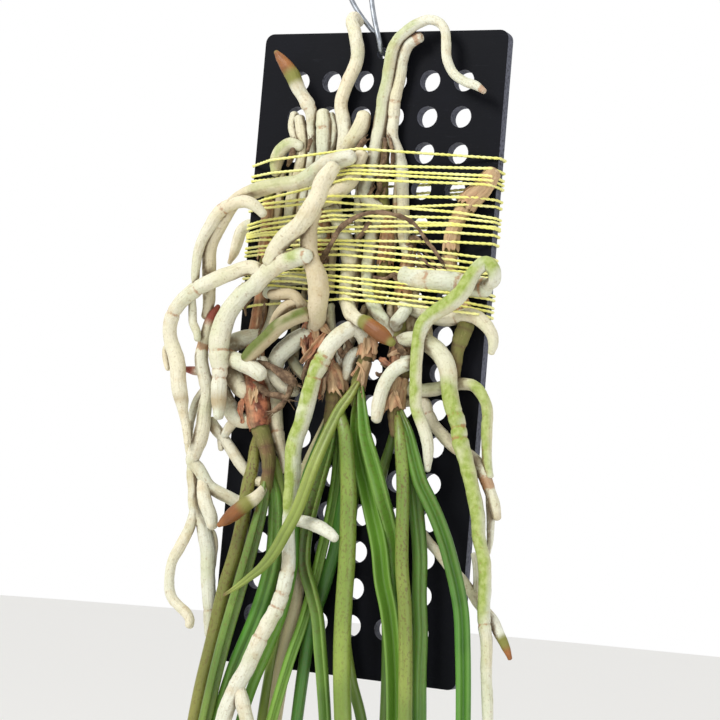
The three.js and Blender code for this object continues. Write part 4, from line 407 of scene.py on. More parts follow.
ORIGIN = np.array(row_origin())


def lift(route: Route) -> np.ndarray:
    """Places route points in space.

    Args:
        route: Points as x, z, stand and girth in millimetres.

    Returns:
        The places from the middle of the plate's front face, in millimetres.
    """
    table = np.array([point[:3] for point in route], float)
    foot = np.stack([table[:, 0], np.zeros(len(table)), table[:, 1]], axis=1)
    reach = (table[:, 2] / -EYE[1])[:, None]
    return foot + (np.array(EYE) - foot) * reach


def smooth_path(points: np.ndarray, spacing: float) -> tuple[np.ndarray, np.ndarray]:
    """Runs a centripetal spline through points.

    Args:
        points: The points to pass through.
        spacing: The length of a step.

    Returns:
        The places on the spline, and for each its place in the list of points.
    """
    ends = np.vstack([2 * points[0] - points[1], points, 2 * points[-1] - points[-2]])
    places, index = [], []
    for i in range(len(points) - 1):
        p0, p1, p2, p3 = ends[i:i + 4]
        d0, d1, d2 = (max(np.linalg.norm(b - a), 1e-6) ** 0.5
                      for a, b in ((p0, p1), (p1, p2), (p2, p3)))
        m1 = ((p1 - p0) / d0 - (p2 - p0) / (d0 + d1) + (p2 - p1) / d1) * d1
        m2 = ((p2 - p1) / d1 - (p3 - p1) / (d1 + d2) + (p3 - p2) / d2) * d1
        steps = max(1, math.ceil(float(np.linalg.norm(p2 - p1)) / spacing))
        t = np.arange(steps)[:, None] / steps
        t2, t3 = t * t, t * t * t
        places.append((2 * t3 - 3 * t2 + 1) * p1 + (t3 - 2 * t2 + t) * m1
                      + (3 * t2 - 2 * t3) * p2 + (t3 - t2) * m2)
        index.append(i + t[:, 0])
    places.append(points[-1:])
    index.append(np.array([len(points) - 1.0]))
    return np.vstack(places), np.concatenate(index)


def lengths(path: np.ndarray) -> np.ndarray:
    """The distance along a path at each of its points."""
    return np.concatenate([[0.0], np.cumsum(np.linalg.norm(np.diff(path, axis=0), axis=1))])


def carried_frames(path: np.ndarray, up: Sequence[float] = (0.31, 0.9, 0.2),
                   fixed: bool = False) -> tuple[np.ndarray, np.ndarray]:
    """Side and up vectors along a path.

    Args:
        path: The path's points.
        up: The first up vector.
        fixed: Keeps up towards that vector, where otherwise it turns as little as it can.

    Returns:
        The side vectors and the up vectors.
    """
    along = np.gradient(path, axis=0)
    along /= np.linalg.norm(along, axis=1)[:, None]
    held = np.array(up, float)
    sides, ups = [], []
    for direction in along:
        base = np.array(up, float) if fixed else held
        held = base - direction * base.dot(direction)
        held /= np.linalg.norm(held)
        sides.append(np.cross(held, direction))
        ups.append(held)
    return np.array(sides), np.array(ups)


def wander(along: np.ndarray, wavelength: float, rng: Chance) -> np.ndarray:
    """A smooth random line between about -1 and 1.

    Args:
        along: Where its values are wanted, in millimetres.
        wavelength: The distance between two random values.
        rng: The source of chance.

    Returns:
        Its values.
    """
    count = int(along[-1] / wavelength) + 4
    knots = rng.uniform(-1, 1, count)
    place = along / wavelength
    low = place.astype(int)
    t = place - low
    t = t * t * (3 - 2 * t)
    return knots[low] * (1 - t) + knots[low + 1] * t


def stretch(index: np.ndarray, start: float, end: float, fade: float) -> np.ndarray:
    """1 from start to end of a route's points, fading out over fade of a point."""
    rise = np.clip((index - start) / fade + 0.5, 0, 1)
    fall = np.clip((end - index) / fade + 0.5, 0, 1)
    return np.minimum(rise, fall)


def linear(code: str) -> tuple[float, float, float, float]:
    """The linear colour of an sRGB hex code."""
    parts = [int(code[i:i + 2], 16) / 255 for i in (1, 3, 5)]
    red, green, blue = (c / 12.92 if c <= 0.04045 else ((c + 0.055) / 1.055) ** 2.4 for c in parts)
    return red, green, blue, 1.0


def feed(tree: Tree, socket: Socket, source: object) -> None:
    """Fills an input.

    Args:
        tree: The tree that it is in.
        socket: The input.
        source: A value, a hex colour, a socket, a node for its first output, or a list of nodes.
    """
    for part in source if isinstance(source, list) else [source]:
        if isinstance(part, bpy.types.Node):
            part = part.outputs[0]
        if isinstance(part, Socket):
            tree.links.new(part, socket)
        else:
            colour = isinstance(part, str) and part.startswith("#")
            socket.default_value = linear(part) if colour else part


def add_node(tree: Tree, kind: str, inputs: dict | None = None,
             **settings: object) -> bpy.types.Node:
    """Adds a node to a tree.

    Args:
        tree: The tree.
        kind: The node's type.
        inputs: What feeds its inputs, by their names or numbers.
        **settings: The node's own properties.

    Returns:
        The node.
    """
    node = tree.nodes.new(kind)
    for name, value in settings.items():
        setattr(node, name, value)
    for name, source in (inputs or {}).items():
        feed(tree, node.inputs[name], source)
    return node


def open_tree(name: str, sockets: dict[str, str]) -> tuple[Tree, dict[str, str]]:
    """Starts a Geometry Nodes tree that takes and gives geometry.

    Args:
        name: The tree's name.
        sockets: Its further inputs, with the kind of each.

    Returns:
        The tree, and its inputs' identifiers by name.
    """
    tree = bpy.data.node_groups.new(name, "GeometryNodeTree")
    face = tree.interface
    face.new_socket("Geometry", in_out="OUTPUT", socket_type="NodeSocketGeometry")
    for key, kind in {"Geometry": "Geometry", **sockets, "Material": "Material"}.items():
        face.new_socket(key, in_out="INPUT", socket_type="NodeSocket" + kind)
    return tree, {item.name: item.identifier for item in face.items_tree if item.in_out == "INPUT"}


def close_tree(tree: Tree, shape: bpy.types.Node, material: Socket) -> None:
    """Ends a Geometry Nodes tree with real geometry in its finish.

    Args:
        tree: The tree.
        shape: The node that gives the geometry.
        material: The input that gives the finish.
    """
    real = add_node(tree, "GeometryNodeRealizeInstances", {"Geometry": shape})
    dressed = add_node(tree, "GeometryNodeSetMaterial", {"Geometry": real, "Material": material})
    add_node(tree, "NodeGroupOutput", {"Geometry": dressed})


def run_tree(tree: Tree, name: str, mesh: Mesh, inputs: dict[str, object]) -> Mesh:
    """Runs a Geometry Nodes tree on a mesh.

    Args:
        tree: The tree.
        name: What the result is called.
        mesh: What goes in, which is then removed.
        inputs: The tree's inputs by identifier.

    Returns:
        The result as a plain mesh.
    """
    piece = object_from(name + "_line", mesh)
    modifier = piece.modifiers.new("tree", "NODES")
    modifier.node_group = tree
    for key, value in inputs.items():
        modifier[key] = value
    seen = piece.evaluated_get(bpy.context.evaluated_depsgraph_get())
    plain = bpy.data.meshes.new_from_object(seen)
    bpy.data.objects.remove(piece)
    bpy.data.meshes.remove(mesh)
    plain.name = name
    return plain


def vectors(rows: bpy.types.bpy_prop_collection, key: str) -> np.ndarray:
    """A vector of each row of a mesh's vertices or of an attribute."""
    values = np.empty(len(rows) * 3, np.float32)
    rows.foreach_get(key, values)
    return values.reshape(-1, 3)


def object_from(name: str, mesh: Mesh) -> Piece:
    """Puts a mesh into the scene as an object at the origin."""
    piece = bpy.data.objects.new(name, mesh)
    bpy.context.scene.collection.objects.link(piece)
    return piece


def store(mesh: Mesh, name: str, values: np.ndarray) -> None:
    """Writes a number, or a vector, for every vertex of a mesh.

    Args:
        mesh: The mesh.
        name: The attribute's name.
        values: One row for each vertex.
    """
    kind = "FLOAT" if values.ndim == 1 else "FLOAT_VECTOR"
    layer = mesh.attributes.new(name, kind, "POINT")
    key = "value" if values.ndim == 1 else "vector"
    layer.data.foreach_set(key, values.astype(np.float32).ravel())


@dataclass
class Strand:
    """A tapering strand as stations along its middle line, in millimetres."""

    path: np.ndarray
    radius: np.ndarray
    index: np.ndarray
    tone: dict[str, np.ndarray] = field(default_factory=dict)

    @classmethod
    def through(cls, route: Route, spacing: float) -> "Strand":
        """The strand through a route's points, with round ends.

        Args:
            route: The route's points.
            spacing: The distance between stations.

        Returns:
            The strand, without tones.
        """
        path, index = smooth_path(lift(route), spacing)
        girths = np.interp(index, np.arange(len(route)), [point[3] for point in route])
        kernel = np.hanning(max(3, int(5 / spacing) | 1) + 2)
        padded = np.pad(girths, len(kernel) // 2, mode="edge")
        radius = np.convolve(padded, kernel / kernel.sum(), mode="valid")[:len(girths)] / 2
        head, head_radius = cls._cap(path[0], path[0] - path[1], radius[0])
        tail, tail_radius = cls._cap(path[-1], path[-1] - path[-2], radius[-1])
        path = np.vstack([head[::-1], path, tail])
        radius = np.concatenate([head_radius[::-1], radius, tail_radius])
        index = np.concatenate([np.full(len(head), index[0]), index, np.full(len(tail), index[-1])])
        return cls(path, radius, index)

    @staticmethod
    def _cap(end: np.ndarray, outward: np.ndarray, radius: float) -> tuple[np.ndarray, np.ndarray]:
        """The stations of a domed end.

        Args:
            end: The last point of the strand.
            outward: The direction out of it.
            radius: The radius there.

        Returns:
            The places and the radii.
        """
        outward = outward / np.linalg.norm(outward)
        angles = np.radians([22, 42, 60, 75, 87])
        return end + outward * np.sin(angles)[:, None] * radius * 0.75, radius * np.cos(angles)


class StrandSweeper:
    """Sweeps polylines into round strands with a Geometry Nodes tree."""

    def __init__(self) -> None:
        """Builds the tree once for all strands."""
        tree, self.keys = open_tree("strand_sweep", {"Sides": "Int", "Grain size": "Float",
                                                     "Grain height": "Float", "Seed": "Float"})
        self.tree = tree
        given = add_node(tree, "NodeGroupInput").outputs
        girth = add_node(tree, "GeometryNodeInputNamedAttribute", {"Name": "girth"},
                         data_type="FLOAT")
        curve = add_node(tree, "GeometryNodeMeshToCurve", {"Mesh": given["Geometry"]})
        ring = add_node(tree, "GeometryNodeCurvePrimitiveCircle",
                        {"Radius": 1.0, "Resolution": given["Sides"]}, mode="RADIUS")
        swept = add_node(tree, "GeometryNodeCurveToMesh",
                         {"Fill Caps": True, "Curve": curve, "Profile Curve": ring,
                          "Scale": girth.outputs["Attribute"]})
        here = add_node(tree, "GeometryNodeInputPosition")
        normal = add_node(tree, "GeometryNodeInputNormal")
        scale = add_node(tree, "ShaderNodeMath", {0: 1.0, 1: given["Grain size"]},
                         operation="DIVIDE")
        noise = add_node(tree, "ShaderNodeTexNoise",
                         {"Detail": 2.0, "Vector": here, "W": given["Seed"], "Scale": scale},
                         noise_dimensions="4D")
        middle = add_node(tree, "ShaderNodeMath", {1: 0.5, 0: noise}, operation="SUBTRACT")
        height = add_node(tree, "ShaderNodeMath",
                          {0: middle, 1: given["Grain height"]}, operation="MULTIPLY")
        push = add_node(tree, "ShaderNodeVectorMath",
                        {0: normal, "Scale": height}, operation="SCALE")
        moved = add_node(tree, "GeometryNodeSetPosition", {"Geometry": swept, "Offset": push})
        smooth = add_node(tree, "GeometryNodeSetShadeSmooth", {"Geometry": moved})
        close_tree(tree, smooth, given["Material"])

    def sweep(self, name: str, strands: Sequence[Strand], material: bpy.types.Material,
              sides: int = ROUND_SIDES, grain: tuple[float, float] = (3.0, 0.0),
              seed: float = 0.0) -> Piece:
        """Makes one plain mesh of several strands.

        Args:
            name: The piece's name.
            strands: The strands.
            material: Its finish.
            sides: The number of faces round a strand.
            grain: The size and height of its unevenness, in millimetres.
            seed: Where the unevenness is taken from.

        Returns:
            The piece, at the origin, with its attributes.
        """
        mesh = bpy.data.meshes.new(name)
        points = np.vstack([strand.path for strand in strands]) * MM + ORIGIN
        edges, first = [], 0
        for strand in strands:
            count = len(strand.path)
            edges.extend((first + i, first + i + 1) for i in range(count - 1))
            first += count
        mesh.from_pydata(points.tolist(), edges, [])
        store(mesh, "girth", np.concatenate([strand.radius for strand in strands]) * MM)
        for key in strands[0].tone:
            store(mesh, key, np.concatenate([strand.tone[key] for strand in strands]))
        given = {"Sides": sides, "Grain size": grain[0] * MM, "Grain height": grain[1] * MM,
                 "Seed": seed, "Material": material}
        inputs = {self.keys[key]: value for key, value in given.items()}
        plain = run_tree(self.tree, name, mesh, inputs)
        if "flow" in strands[0].tone:
            spread_flow(plain, strands)
        return object_from(name, plain)


def ride(piece: Piece, nodes: Sequence[str]) -> Piece:
    """Lets a piece stand for CAD nodes, on the root body.

    Args:
        piece: The piece.
        nodes: The nodes that it replaces, none where it only adds to them.

    Returns:
        The piece.
    """
    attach(piece, "root")
    if nodes:
        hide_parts(*nodes)
    LOG.info("%s: %d faces", piece.name, len(piece.data.polygons))
    return piece


class Finish:
    """A material whose colours and relief are built as nodes."""

    name: str = "finish"

    def build(self) -> bpy.types.Material:
        """Makes the material on first use.

        Returns:
            The material, which all pieces in this finish share.
        """
        known = bpy.data.materials.get(self.name)
        if known:
            return known
        material = bpy.data.materials.new(self.name)
        material.use_nodes = True
        tree = material.node_tree
        tree.nodes.clear()
        self.tree = tree
        self.shader = add_node(tree, "ShaderNodeBsdfPrincipled")
        add_node(tree, "ShaderNodeOutputMaterial", {"Surface": self.shader})
        self.paint()
        return material

    def paint(self) -> None:
        """Builds the nodes in front of the shader."""

    def place(self) -> Socket:
        """Object coordinates, in metres."""
        return add_node(self.tree, "ShaderNodeTexCoord").outputs["Object"]

    def tone(self, name: str, output: str = "Fac") -> Socket:
        """A number or vector that the mesh carries at every vertex."""
        return add_node(self.tree, "ShaderNodeAttribute", attribute_name=name).outputs[output]

    def noise(self, size: float, vector: Socket | None = None, detail: float = 3.0,
              squeeze: Sequence[float] = (1, 1, 1)) -> Socket:
        """Noise whose patches are about size millimetres.

        Args:
            size: The patches' size.
            vector: Coordinates in metres, or Object coordinates where none are given.
            detail: The number of finer layers.
            squeeze: The scale along each axis.

        Returns:
            The noise, from 0 to 1.
        """
        factors = tuple(factor / (size * MM) for factor in squeeze)
        mapped = add_node(self.tree, "ShaderNodeMapping",
                          {"Scale": factors, "Vector": vector or self.place()})
        texture = add_node(self.tree, "ShaderNodeTexNoise",
                           {"Scale": 1.0, "Detail": detail, "Roughness": 0.6, "Vector": mapped})
        return texture.outputs["Fac"]

    def ramp(self, value: Socket, low: float, high: float) -> Socket:
        """Spreads low to high of a value over 0 to 1.

        Args:
            value: The value.
            low: What becomes 0.
            high: What becomes 1.

        Returns:
            The result, eased at both ends.
        """
        node = add_node(self.tree, "ShaderNodeMapRange",
                        {"From Min": low, "From Max": high, "Value": value},
                        interpolation_type="SMOOTHSTEP")
        return node.outputs[0]

    def math(self, operation: str, a: object, b: object) -> Socket:
        """Joins two numbers, each a socket or a value."""
        return add_node(self.tree, "ShaderNodeMath", {0: a, 1: b}, operation=operation).outputs[0]

    def blend(self, amount: object, under: object, over: object) -> Socket:
        """Lays one colour over another.

        Args:
            amount: How much of the upper one shows, a socket or a number.
            under: The lower colour, a socket or a hex code.
            over: The upper colour, a socket or a hex code.

        Returns:
            The mixed colour.
        """
        inputs = {0: amount, 6: under, 7: over}
        return add_node(self.tree, "ShaderNodeMix", inputs, data_type="RGBA").outputs[2]

    def times(self, amount: object, *factors: object) -> object:
        """The product of sockets and numbers."""
        for factor in factors:
            amount = self.math("MULTIPLY", amount, factor)
        return amount

    def coats(self, base: object, *coats: tuple) -> Socket:
        """Lays colours over a base.

        Args:
            base: The base, a socket or a hex code.
            *coats: Each colour, then the amounts whose product says how much of it shows.

        Returns:
            The colour on top.
        """
        for colour, *amounts in coats:
            base = self.blend(self.times(*amounts), base, colour)
        return base

    def clouded(self, cloud: Socket, low: str, high: str) -> Socket:
        """Mixes two colours softly, as a noise says."""
        return self.blend(self.ramp(cloud, 0.35, 0.65), low, high)

    def bump(self, *layers: tuple[Socket, float]) -> None:
        """Gives the shader relief.

        Args:
            *layers: Pairs of a height from 0 to 1 and what 1 is worth in millimetres.
        """
        under: dict[str, Socket] = {}
        for height, depth in layers:
            relief = {"Strength": 1.0, "Distance": depth * MM, "Height": height}
            node = add_node(self.tree, "ShaderNodeBump", relief | under)
            under = {"Normal": node.outputs[0]}
        self.set(**under)

    def set(self, **values: object) -> None:
        """Sets the shader's inputs, each a socket, a hex code or a value."""
        for name, value in values.items():
            feed(self.tree, self.shader.inputs[name.replace("_", " ")], value)


class RootSkin(Finish):
    """Velamen, the dead spongy skin of an aerial root: chalky white, with green under it where
    it is thin, fine lengthwise creases, and brown cork where it cracked."""

    name = "velamen_root_skin"

    def paint(self) -> None:
        """Builds the skin's colour from what each vertex carries."""
        flow = self.tone("flow", "Vector")
        patches = self.noise(14, detail=2)
        mottle = self.noise(2.2, detail=4)
        creases = self.noise(1.0, flow, 3, (0.09, 1.6, 1.6))
        base = self.blend(self.ramp(self.tone("warm"), 0, 1), "#D5D7C8", "#D9CFB3")
        base = self.coats(
            base,
            ("#B4B889", self.ramp(patches, 0.45, 0.7), 0.35),
            ("#A3987A", self.ramp(self.noise(0.9, detail=4), 0.5, 0.7), 0.4))
        tan = self.ramp(self.noise(9, detail=4), 0.52, 0.66)
        base = self.coats(
            base,
            ("#BDA67D", tan, 0.4),
            ("#98896A", self.ramp(creases, 0.5, 0.72), 0.3),
            ("#E2DCCA", self.ramp(mottle, 0.5, 0.75), 0.35),
            ("#A99672", self.tone("shade"), 0.8))
        normal = add_node(self.tree, "ShaderNodeNewGeometry").outputs["Normal"]
        sunny = add_node(self.tree, "ShaderNodeVectorMath", {1: SUNNY_SIDE, 0: normal},
                         operation="DOT_PRODUCT")
        lit = self.math("ADD", self.ramp(sunny.outputs["Value"], -0.55, 0.25), 0.1)
        streak = self.times(self.tone("green"), lit, self.ramp(patches, 0.2, 0.5))
        leafy = self.blend(self.ramp(mottle, 0.3, 0.7), "#87993F", "#AAB570")
        leafy = self.blend(self.tone("shade"), leafy, "#4A5520")
        base = self.coats(base, (leafy, streak, 0.95))
        specks = self.ramp(self.noise(1.5, detail=1), 0.67, 0.73)
        base = self.coats(base, ("#8C6A44", specks, 0.35))
        # Painted shade, partly real grime: dark brown where other growth shuts the skin in, broken
        # up by the mottle.
        grime_and_nook_shade = self.times(self.ramp(self.tone("nook"), 0.12, 0.7), self.ramp(mottle, 0.2, 0.5))
        base = self.coats(base, ("#6B5537", grime_and_nook_shade, 0.85))
        broken = self.math("SUBTRACT", self.tone("rust"), self.noise(1.8, detail=3))
        rust = self.ramp(broken, -0.1, 0.15)
        base = self.coats(base, ("#9E6A42", rust, 0.7))
        tip = self.clouded(self.noise(5, flow, 2, (0.4, 1, 1)), "#945F31", "#7A4C28")
        tip = self.blend(self.ramp(self.tone("tip"), 0.55, 1.0), "#7C7B3B", tip)
        base = self.blend(self.ramp(self.tone("tip"), 0.1, 0.4), base, tip)
        base = self.blend(self.tone("purple"), base, "#93483A")
        gloss = self.times(self.math("MAXIMUM", self.tone("tip"), self.tone("purple")), -0.4)
        self.set(Base_Color=base, Roughness=self.math("ADD", gloss, 0.82), IOR=1.4)
        self.set(Subsurface_Weight=0.12, Subsurface_Scale=0.001, Subsurface_Radius=(1.0, 0.9, 0.6))
        self.bump((creases, 0.3), (mottle, 0.2), (self.noise(0.6, detail=2), 0.08))


class LeafSkin(Finish):
    """Waxy cuticle of a pencil-like leaf: green to olive, with lengthwise veins, a pale rim
    along its groove, and dark specks with rusty scars on the older ones."""

    name = "waxy_leaf_cuticle"

    def paint(self) -> None:
        """Builds the leaf's colour from what each vertex carries."""
        flow = self.tone("flow", "Vector")
        veins = self.noise(0.55, flow, 2, (0.02, 1.5, 1.5))
        bands = self.noise(3.2, flow, 2, (0.05, 1, 1))
        cloud = self.noise(26, detail=2)
        fresh = self.clouded(cloud, "#3A7221", "#548C2D")
        dark = self.clouded(cloud, "#24491B", "#305C20")
        olive = self.clouded(cloud, "#7C863A", "#959A4A")
        base = self.blend(self.tone("dark"), fresh, dark)
        base = self.blend(self.tone("olive"), base, olive)
        base = self.blend(self.tone("light"), base, "#7FA038")
        base = self.blend(self.tone("old"), base, "#BDB08C")
        base = self.coats(
            base,
            ("#93AC55", self.ramp(veins, 0.45, 0.75), 0.13),
            ("#274A17", self.ramp(bands, 0.42, 0.7), 0.22),
            ("#9DB068", self.tone("rim"), 0.14))
        spots = self.ramp(self.noise(0.9, flow, 2, (0.8, 1, 1)), 0.53, 0.62)
        base = self.coats(base, ("#5F4A24", spots, self.tone("speckle")))
        scars = self.ramp(self.noise(6, flow, 2, (0.6, 1, 1)), 0.68, 0.72)
        base = self.coats(base, ("#7A4A2C", scars, self.tone("speckle"), 0.9))
        base = self.blend(self.tone("bark"), base, "#6F5A30")
        self.set(Base_Color=base, Roughness=0.42, IOR=1.45, Coat_Weight=0.12, Coat_Roughness=0.3)
        self.set(Subsurface_Weight=0.08, Subsurface_Scale=0.001, Subsurface_Radius=(0.5, 1.0, 0.2))
        self.bump((veins, 0.07), (self.noise(1.4, flow, 2, (0.3, 1, 1)), 0.05))


class StemSkin(Finish):
    """Old stem, wrapped in the dry bases of fallen leaves: olive to brown, ringed, with
    fibres that run lengthwise."""

    name = "old_stem_bark"

    def paint(self) -> None:
        """Builds the bark's colour."""
        flow = self.tone("flow", "Vector")
        fibres = self.noise(0.8, flow, 4, (0.05, 1.4, 1.4))
        cloud = self.noise(7, detail=3)
        base = self.clouded(cloud, "#6E6639", "#74583C")
        base = self.coats(
            base,
            ("#4F3A26", self.ramp(fibres, 0.45, 0.7), 0.7),
            ("#77803F", self.tone("olive"), self.ramp(fibres, 0.2, 0.5)),
            ("#5E4434", self.tone("rust"), 0.9),
            ("#A8946A", self.ramp(self.noise(1.6, detail=2), 0.6, 0.7), 0.25),
            # Painted shade: dark brown where other growth shuts the stem in.
            ("#3F2E1E", self.ramp(self.tone("nook"), 0.2, 0.9), 0.7))
        self.set(Base_Color=base, Roughness=0.85, IOR=1.45)
        self.bump((fibres, 0.25), (self.noise(2, detail=3), 0.2))


class PaperySheath(Finish):
    """Dead leaf base, dried to a brittle reddish paper with straw-coloured veins."""

    name = "dry_papery_sheath"

    def paint(self) -> None:
        """Builds the sheath's colour."""
        flow = self.tone("flow", "Vector")
        veins = self.noise(0.7, flow, 3, (0.04, 1.3, 1.3))
        cloud = self.noise(4, detail=3)
        straw = self.ramp(self.noise(2, flow, 2, (0.3, 1, 1)), 0.6, 0.72)
        base = self.blend(self.ramp(cloud, 0.38, 0.62), "#5E2C1E", "#AE6C4B")
        base = self.coats(
            base,
            ("#BEA47C", self.tone("pale"), 0.85),
            ("#5F3826", self.ramp(veins, 0.5, 0.7), 0.6),
            ("#E6CDA8", straw, 0.6))
        self.set(Base_Color=base, Roughness=0.72, IOR=1.45)
        self.bump((veins, 0.15), (cloud, 0.3))


class DryFibre(Finish):
    """Dead spike and root cores: grey-brown, stringy and split lengthwise."""

    name = "dead_fibrous_bark"

    def paint(self) -> None:
        """Builds the fibre's colour."""
        cloud = self.noise(3, detail=4)
        fine = self.noise(0.5, detail=3)
        base = self.clouded(cloud, "#54402F", "#8E765C")
        base = self.coats(base, ("#35261C", self.ramp(fine, 0.5, 0.7), 0.6))
        self.set(Base_Color=base, Roughness=0.92, IOR=1.45)
        self.bump((fine, 0.2), (cloud, 0.3))


class CottonTwine(Finish):
    """Two-ply cotton, dyed pale yellow. The plies are modelled; the relief is their yarn."""

    name = "cotton_twine"

    def paint(self) -> None:
        """Builds the twine's colour."""
        cloud = self.noise(9, detail=2)
        yarn = self.noise(0.25, detail=2)
        base = self.clouded(cloud, "#E6E37A", "#F2EFA0")
        base = self.coats(base, ("#C9C25C", self.ramp(yarn, 0.5, 0.75), 0.5))
        self.set(Base_Color=base, Roughness=0.8, IOR=1.45, Sheen_Weight=0.25, Sheen_Roughness=0.5)
        self.bump((yarn, 0.06))


class MouldedPlastic(Finish):
    """Black polypropylene from a mould, with a faint grain, scuffs and watering stains."""

    name = "moulded_black_polypropylene"

    def paint(self) -> None:
        """Builds the plastic's colour."""
        stains = self.noise(18, detail=5)
        dust = self.noise(1.1, detail=3)
        scuffs = self.noise(1.2, self.place(), 2, (0.12, 1, 1.6))
        base = self.coats(
            "#0C0D12",
            ("#14151C", self.ramp(stains, 0.45, 0.75), 0.5),
            ("#2A2B33", self.ramp(dust, 0.66, 0.78), 0.35),
            ("#26272E", self.ramp(scuffs, 0.66, 0.72), 0.25),
            # Painted reflected light with some wear: the holes' walls lighter grey, broken up by
            # the dust noise.
            ("#5D5F6B", self.tone("wall"), self.ramp(dust, 0.2, 0.6)))
        rough = self.math("ADD", self.times(stains, 0.25), 0.42)
        self.set(Base_Color=base, Roughness=rough, IOR=1.49, Specular_IOR_Level=0.08)
        self.bump((self.noise(0.7, detail=2), 0.03), (scuffs, 0.02))


class GalvanisedWire(Finish):
    """Steel wire with a dull zinc coat: blue-grey, cloudy, with drawn lines along it."""

    name = "galvanised_steel_wire"

    def paint(self) -> None:
        """Builds the zinc's colour."""
        cloud = self.noise(3, detail=3)
        lines = self.noise(0.5, self.place(), 2, (1, 1, 0.1))
        base = self.clouded(cloud, "#8B9097", "#A9AEB4")
        base = self.coats(base, ("#62666C", self.ramp(lines, 0.55, 0.7), 0.35))
        rough = self.math("ADD", self.times(cloud, 0.2), 0.32)
        self.set(Base_Color=base, Metallic=0.85, Roughness=rough)
        self.bump((lines, 0.02), (cloud, 0.02))


class PaleFloor(Finish):
    """Matt studio paper."""

    name = "studio_paper"

    def paint(self) -> None:
        """Gives the paper one plain colour."""
        self.set(Base_Color="#F8F7F4", Roughness=0.9)


@dataclass
class RootSpec:
    """How one root looks beyond its route.

    Attributes:
        warm: 0 for grey-green white, 1 for cream.
        green: How green it is all along.
        shade: How tanned it is all along.
        vivid: How strongly its green stretches show.
        girth: How swollen it is beyond its route's girth.
        marks: Stretches as kind, branch, start and end, counted in the route's points. A
            ring has no end.
    """

    warm: float = 0.5
    green: float = 0.05
    shade: float = 0.0
    vivid: float = 1.0
    girth: float = 1.0
    marks: Sequence[tuple[Mark | float, ...]] = ()


def read_looks(text: str) -> dict[str, RootSpec]:
    """Reads how roots look.

    Args:
        text: Rows of a name, the spec's numbers, a colon and marks with commas between. A
            semicolon ends a row.

    Returns:
        The specs by name.
    """
    looks = {}
    for entry in text.split(";")[:-1]:
        head, tail = entry.split(":")
        name, *numbers = head.split()
        words = [mark.split() for mark in tail.split(",") if mark]
        marks = [(Mark[kind.upper()], *map(float, places)) for kind, *places in words]
        looks[name] = RootSpec(*map(float, numbers), marks=marks)
    return looks


@dataclass
class Roots:
    """All roots, each swept through its route with its own tint, cracks and tip."""

    sweeper: StrandSweeper
    spacing: float = 0.9
    grain: tuple[float, float] = (2.4, 0.4)
    husk_sides: int = 10
    husk_grain: tuple[float, float] = (1.6, 0.6)
    made: dict[str, Piece] = field(default_factory=dict)

    def branch(self, route: Route, spec: RootSpec, number: int, rng: Chance) -> Strand:
        """One branch of a root.

        Args:
            route: Its points.
            spec: How the root looks.
            number: Which branch it is.
            rng: The source of chance for its swellings.

        Returns:
            The strand with its tones.
        """
        strand = Strand.through(route, self.spacing)
        along = lengths(strand.path)
        count = len(along)
        swell = 1 + 0.045 * wander(along, 7.0, rng) + 0.025 * wander(along, 2.6, rng)
        warm = np.clip(spec.warm + 0.35 * wander(along, 16.0, rng), 0, 1)
        tone = {key: np.zeros(count) for key in ("green", "rust", "tip", "purple", "shade")}
        tone["green"] += spec.green * np.clip(0.6 + 0.7 * wander(along, 14.0, rng), 0, 1)
        tone["shade"] += spec.shade
        rings = [place for place in np.arange(rng.uniform(8, 20), along[-1] - 6, 1)
                 if rng.random() < 0.012]
        for kind, which, start, *end in spec.marks:
            if which != number:
                continue
            if kind is Mark.RING:
                rings.append(float(np.interp(start, strand.index, along)))
                continue
            weight = spec.vivid if kind is Mark.GREEN else 1.0
            fade = 1.7 if kind is Mark.TIP else 1.0
            shown = weight * stretch(strand.index, start, end[0], fade)
            tone[kind.value] = np.maximum(tone[kind.value], shown)
        for place in rings:
            near = np.exp(-((along - place) / 0.55) ** 2)
            swell *= 1 - 0.09 * near + 0.04 * np.exp(-((along - place - 1.8) / 1.2) ** 2)
            tone["rust"] = np.maximum(tone["rust"], 0.55 * np.exp(-((along - place) / 1.3) ** 2))
        strand.radius = strand.radius * swell * spec.girth
        sides, ups = carried_frames(strand.path)
        drift = np.stack([wander(along, 9.0, rng), wander(along, 6.0, rng)], axis=1) * 0.3
        strand.path = strand.path + sides * drift[:, :1] + ups * drift[:, 1:]
        tone["warm"] = warm
        tag = np.full(count, number * BRANCH_STEP)
        tone["flow"] = np.stack([along * MM, np.zeros(count), tag], axis=1)
        strand.tone = tone
        return strand

    def husks(self, seed: int) -> Piece:
        """Makes the shrunken old roots that lie on the plate under the others, as one piece.

        Args:
            seed: The seed for their unevenness.

        Returns:
            The piece.
        """
        rng = np.random.default_rng(seed)
        strands = [self.branch(route, RootSpec(*map(float, label)), i, rng)
                   for i, (label, (route,)) in enumerate(HUSKS)]
        piece = self.sweeper.sweep("old_root_husks", strands, RootSkin().build(), self.husk_sides,
                                   self.husk_grain, seed)
        self.made["old_root_husks"] = piece
        return ride(piece, [])

    def build(self, name: str, branches: Sequence[Route], seed: int) -> Piece:
        """Makes one root with its branches.

        Args:
            name: The node that it replaces.
            branches: Their routes.
            seed: The seed for its unevenness.

        Returns:
            The piece.
        """
        rng = np.random.default_rng(seed)
        spec = ROOT_LOOKS.get(name, RootSpec())
        strands = [self.branch(route, spec, i, rng) for i, route in enumerate(branches)]
        piece = self.sweeper.sweep(name + "_skin", strands, RootSkin().build(), ROUND_SIDES,
                                   self.grain, seed)
        self.made[name] = piece
        return ride(piece, [name])


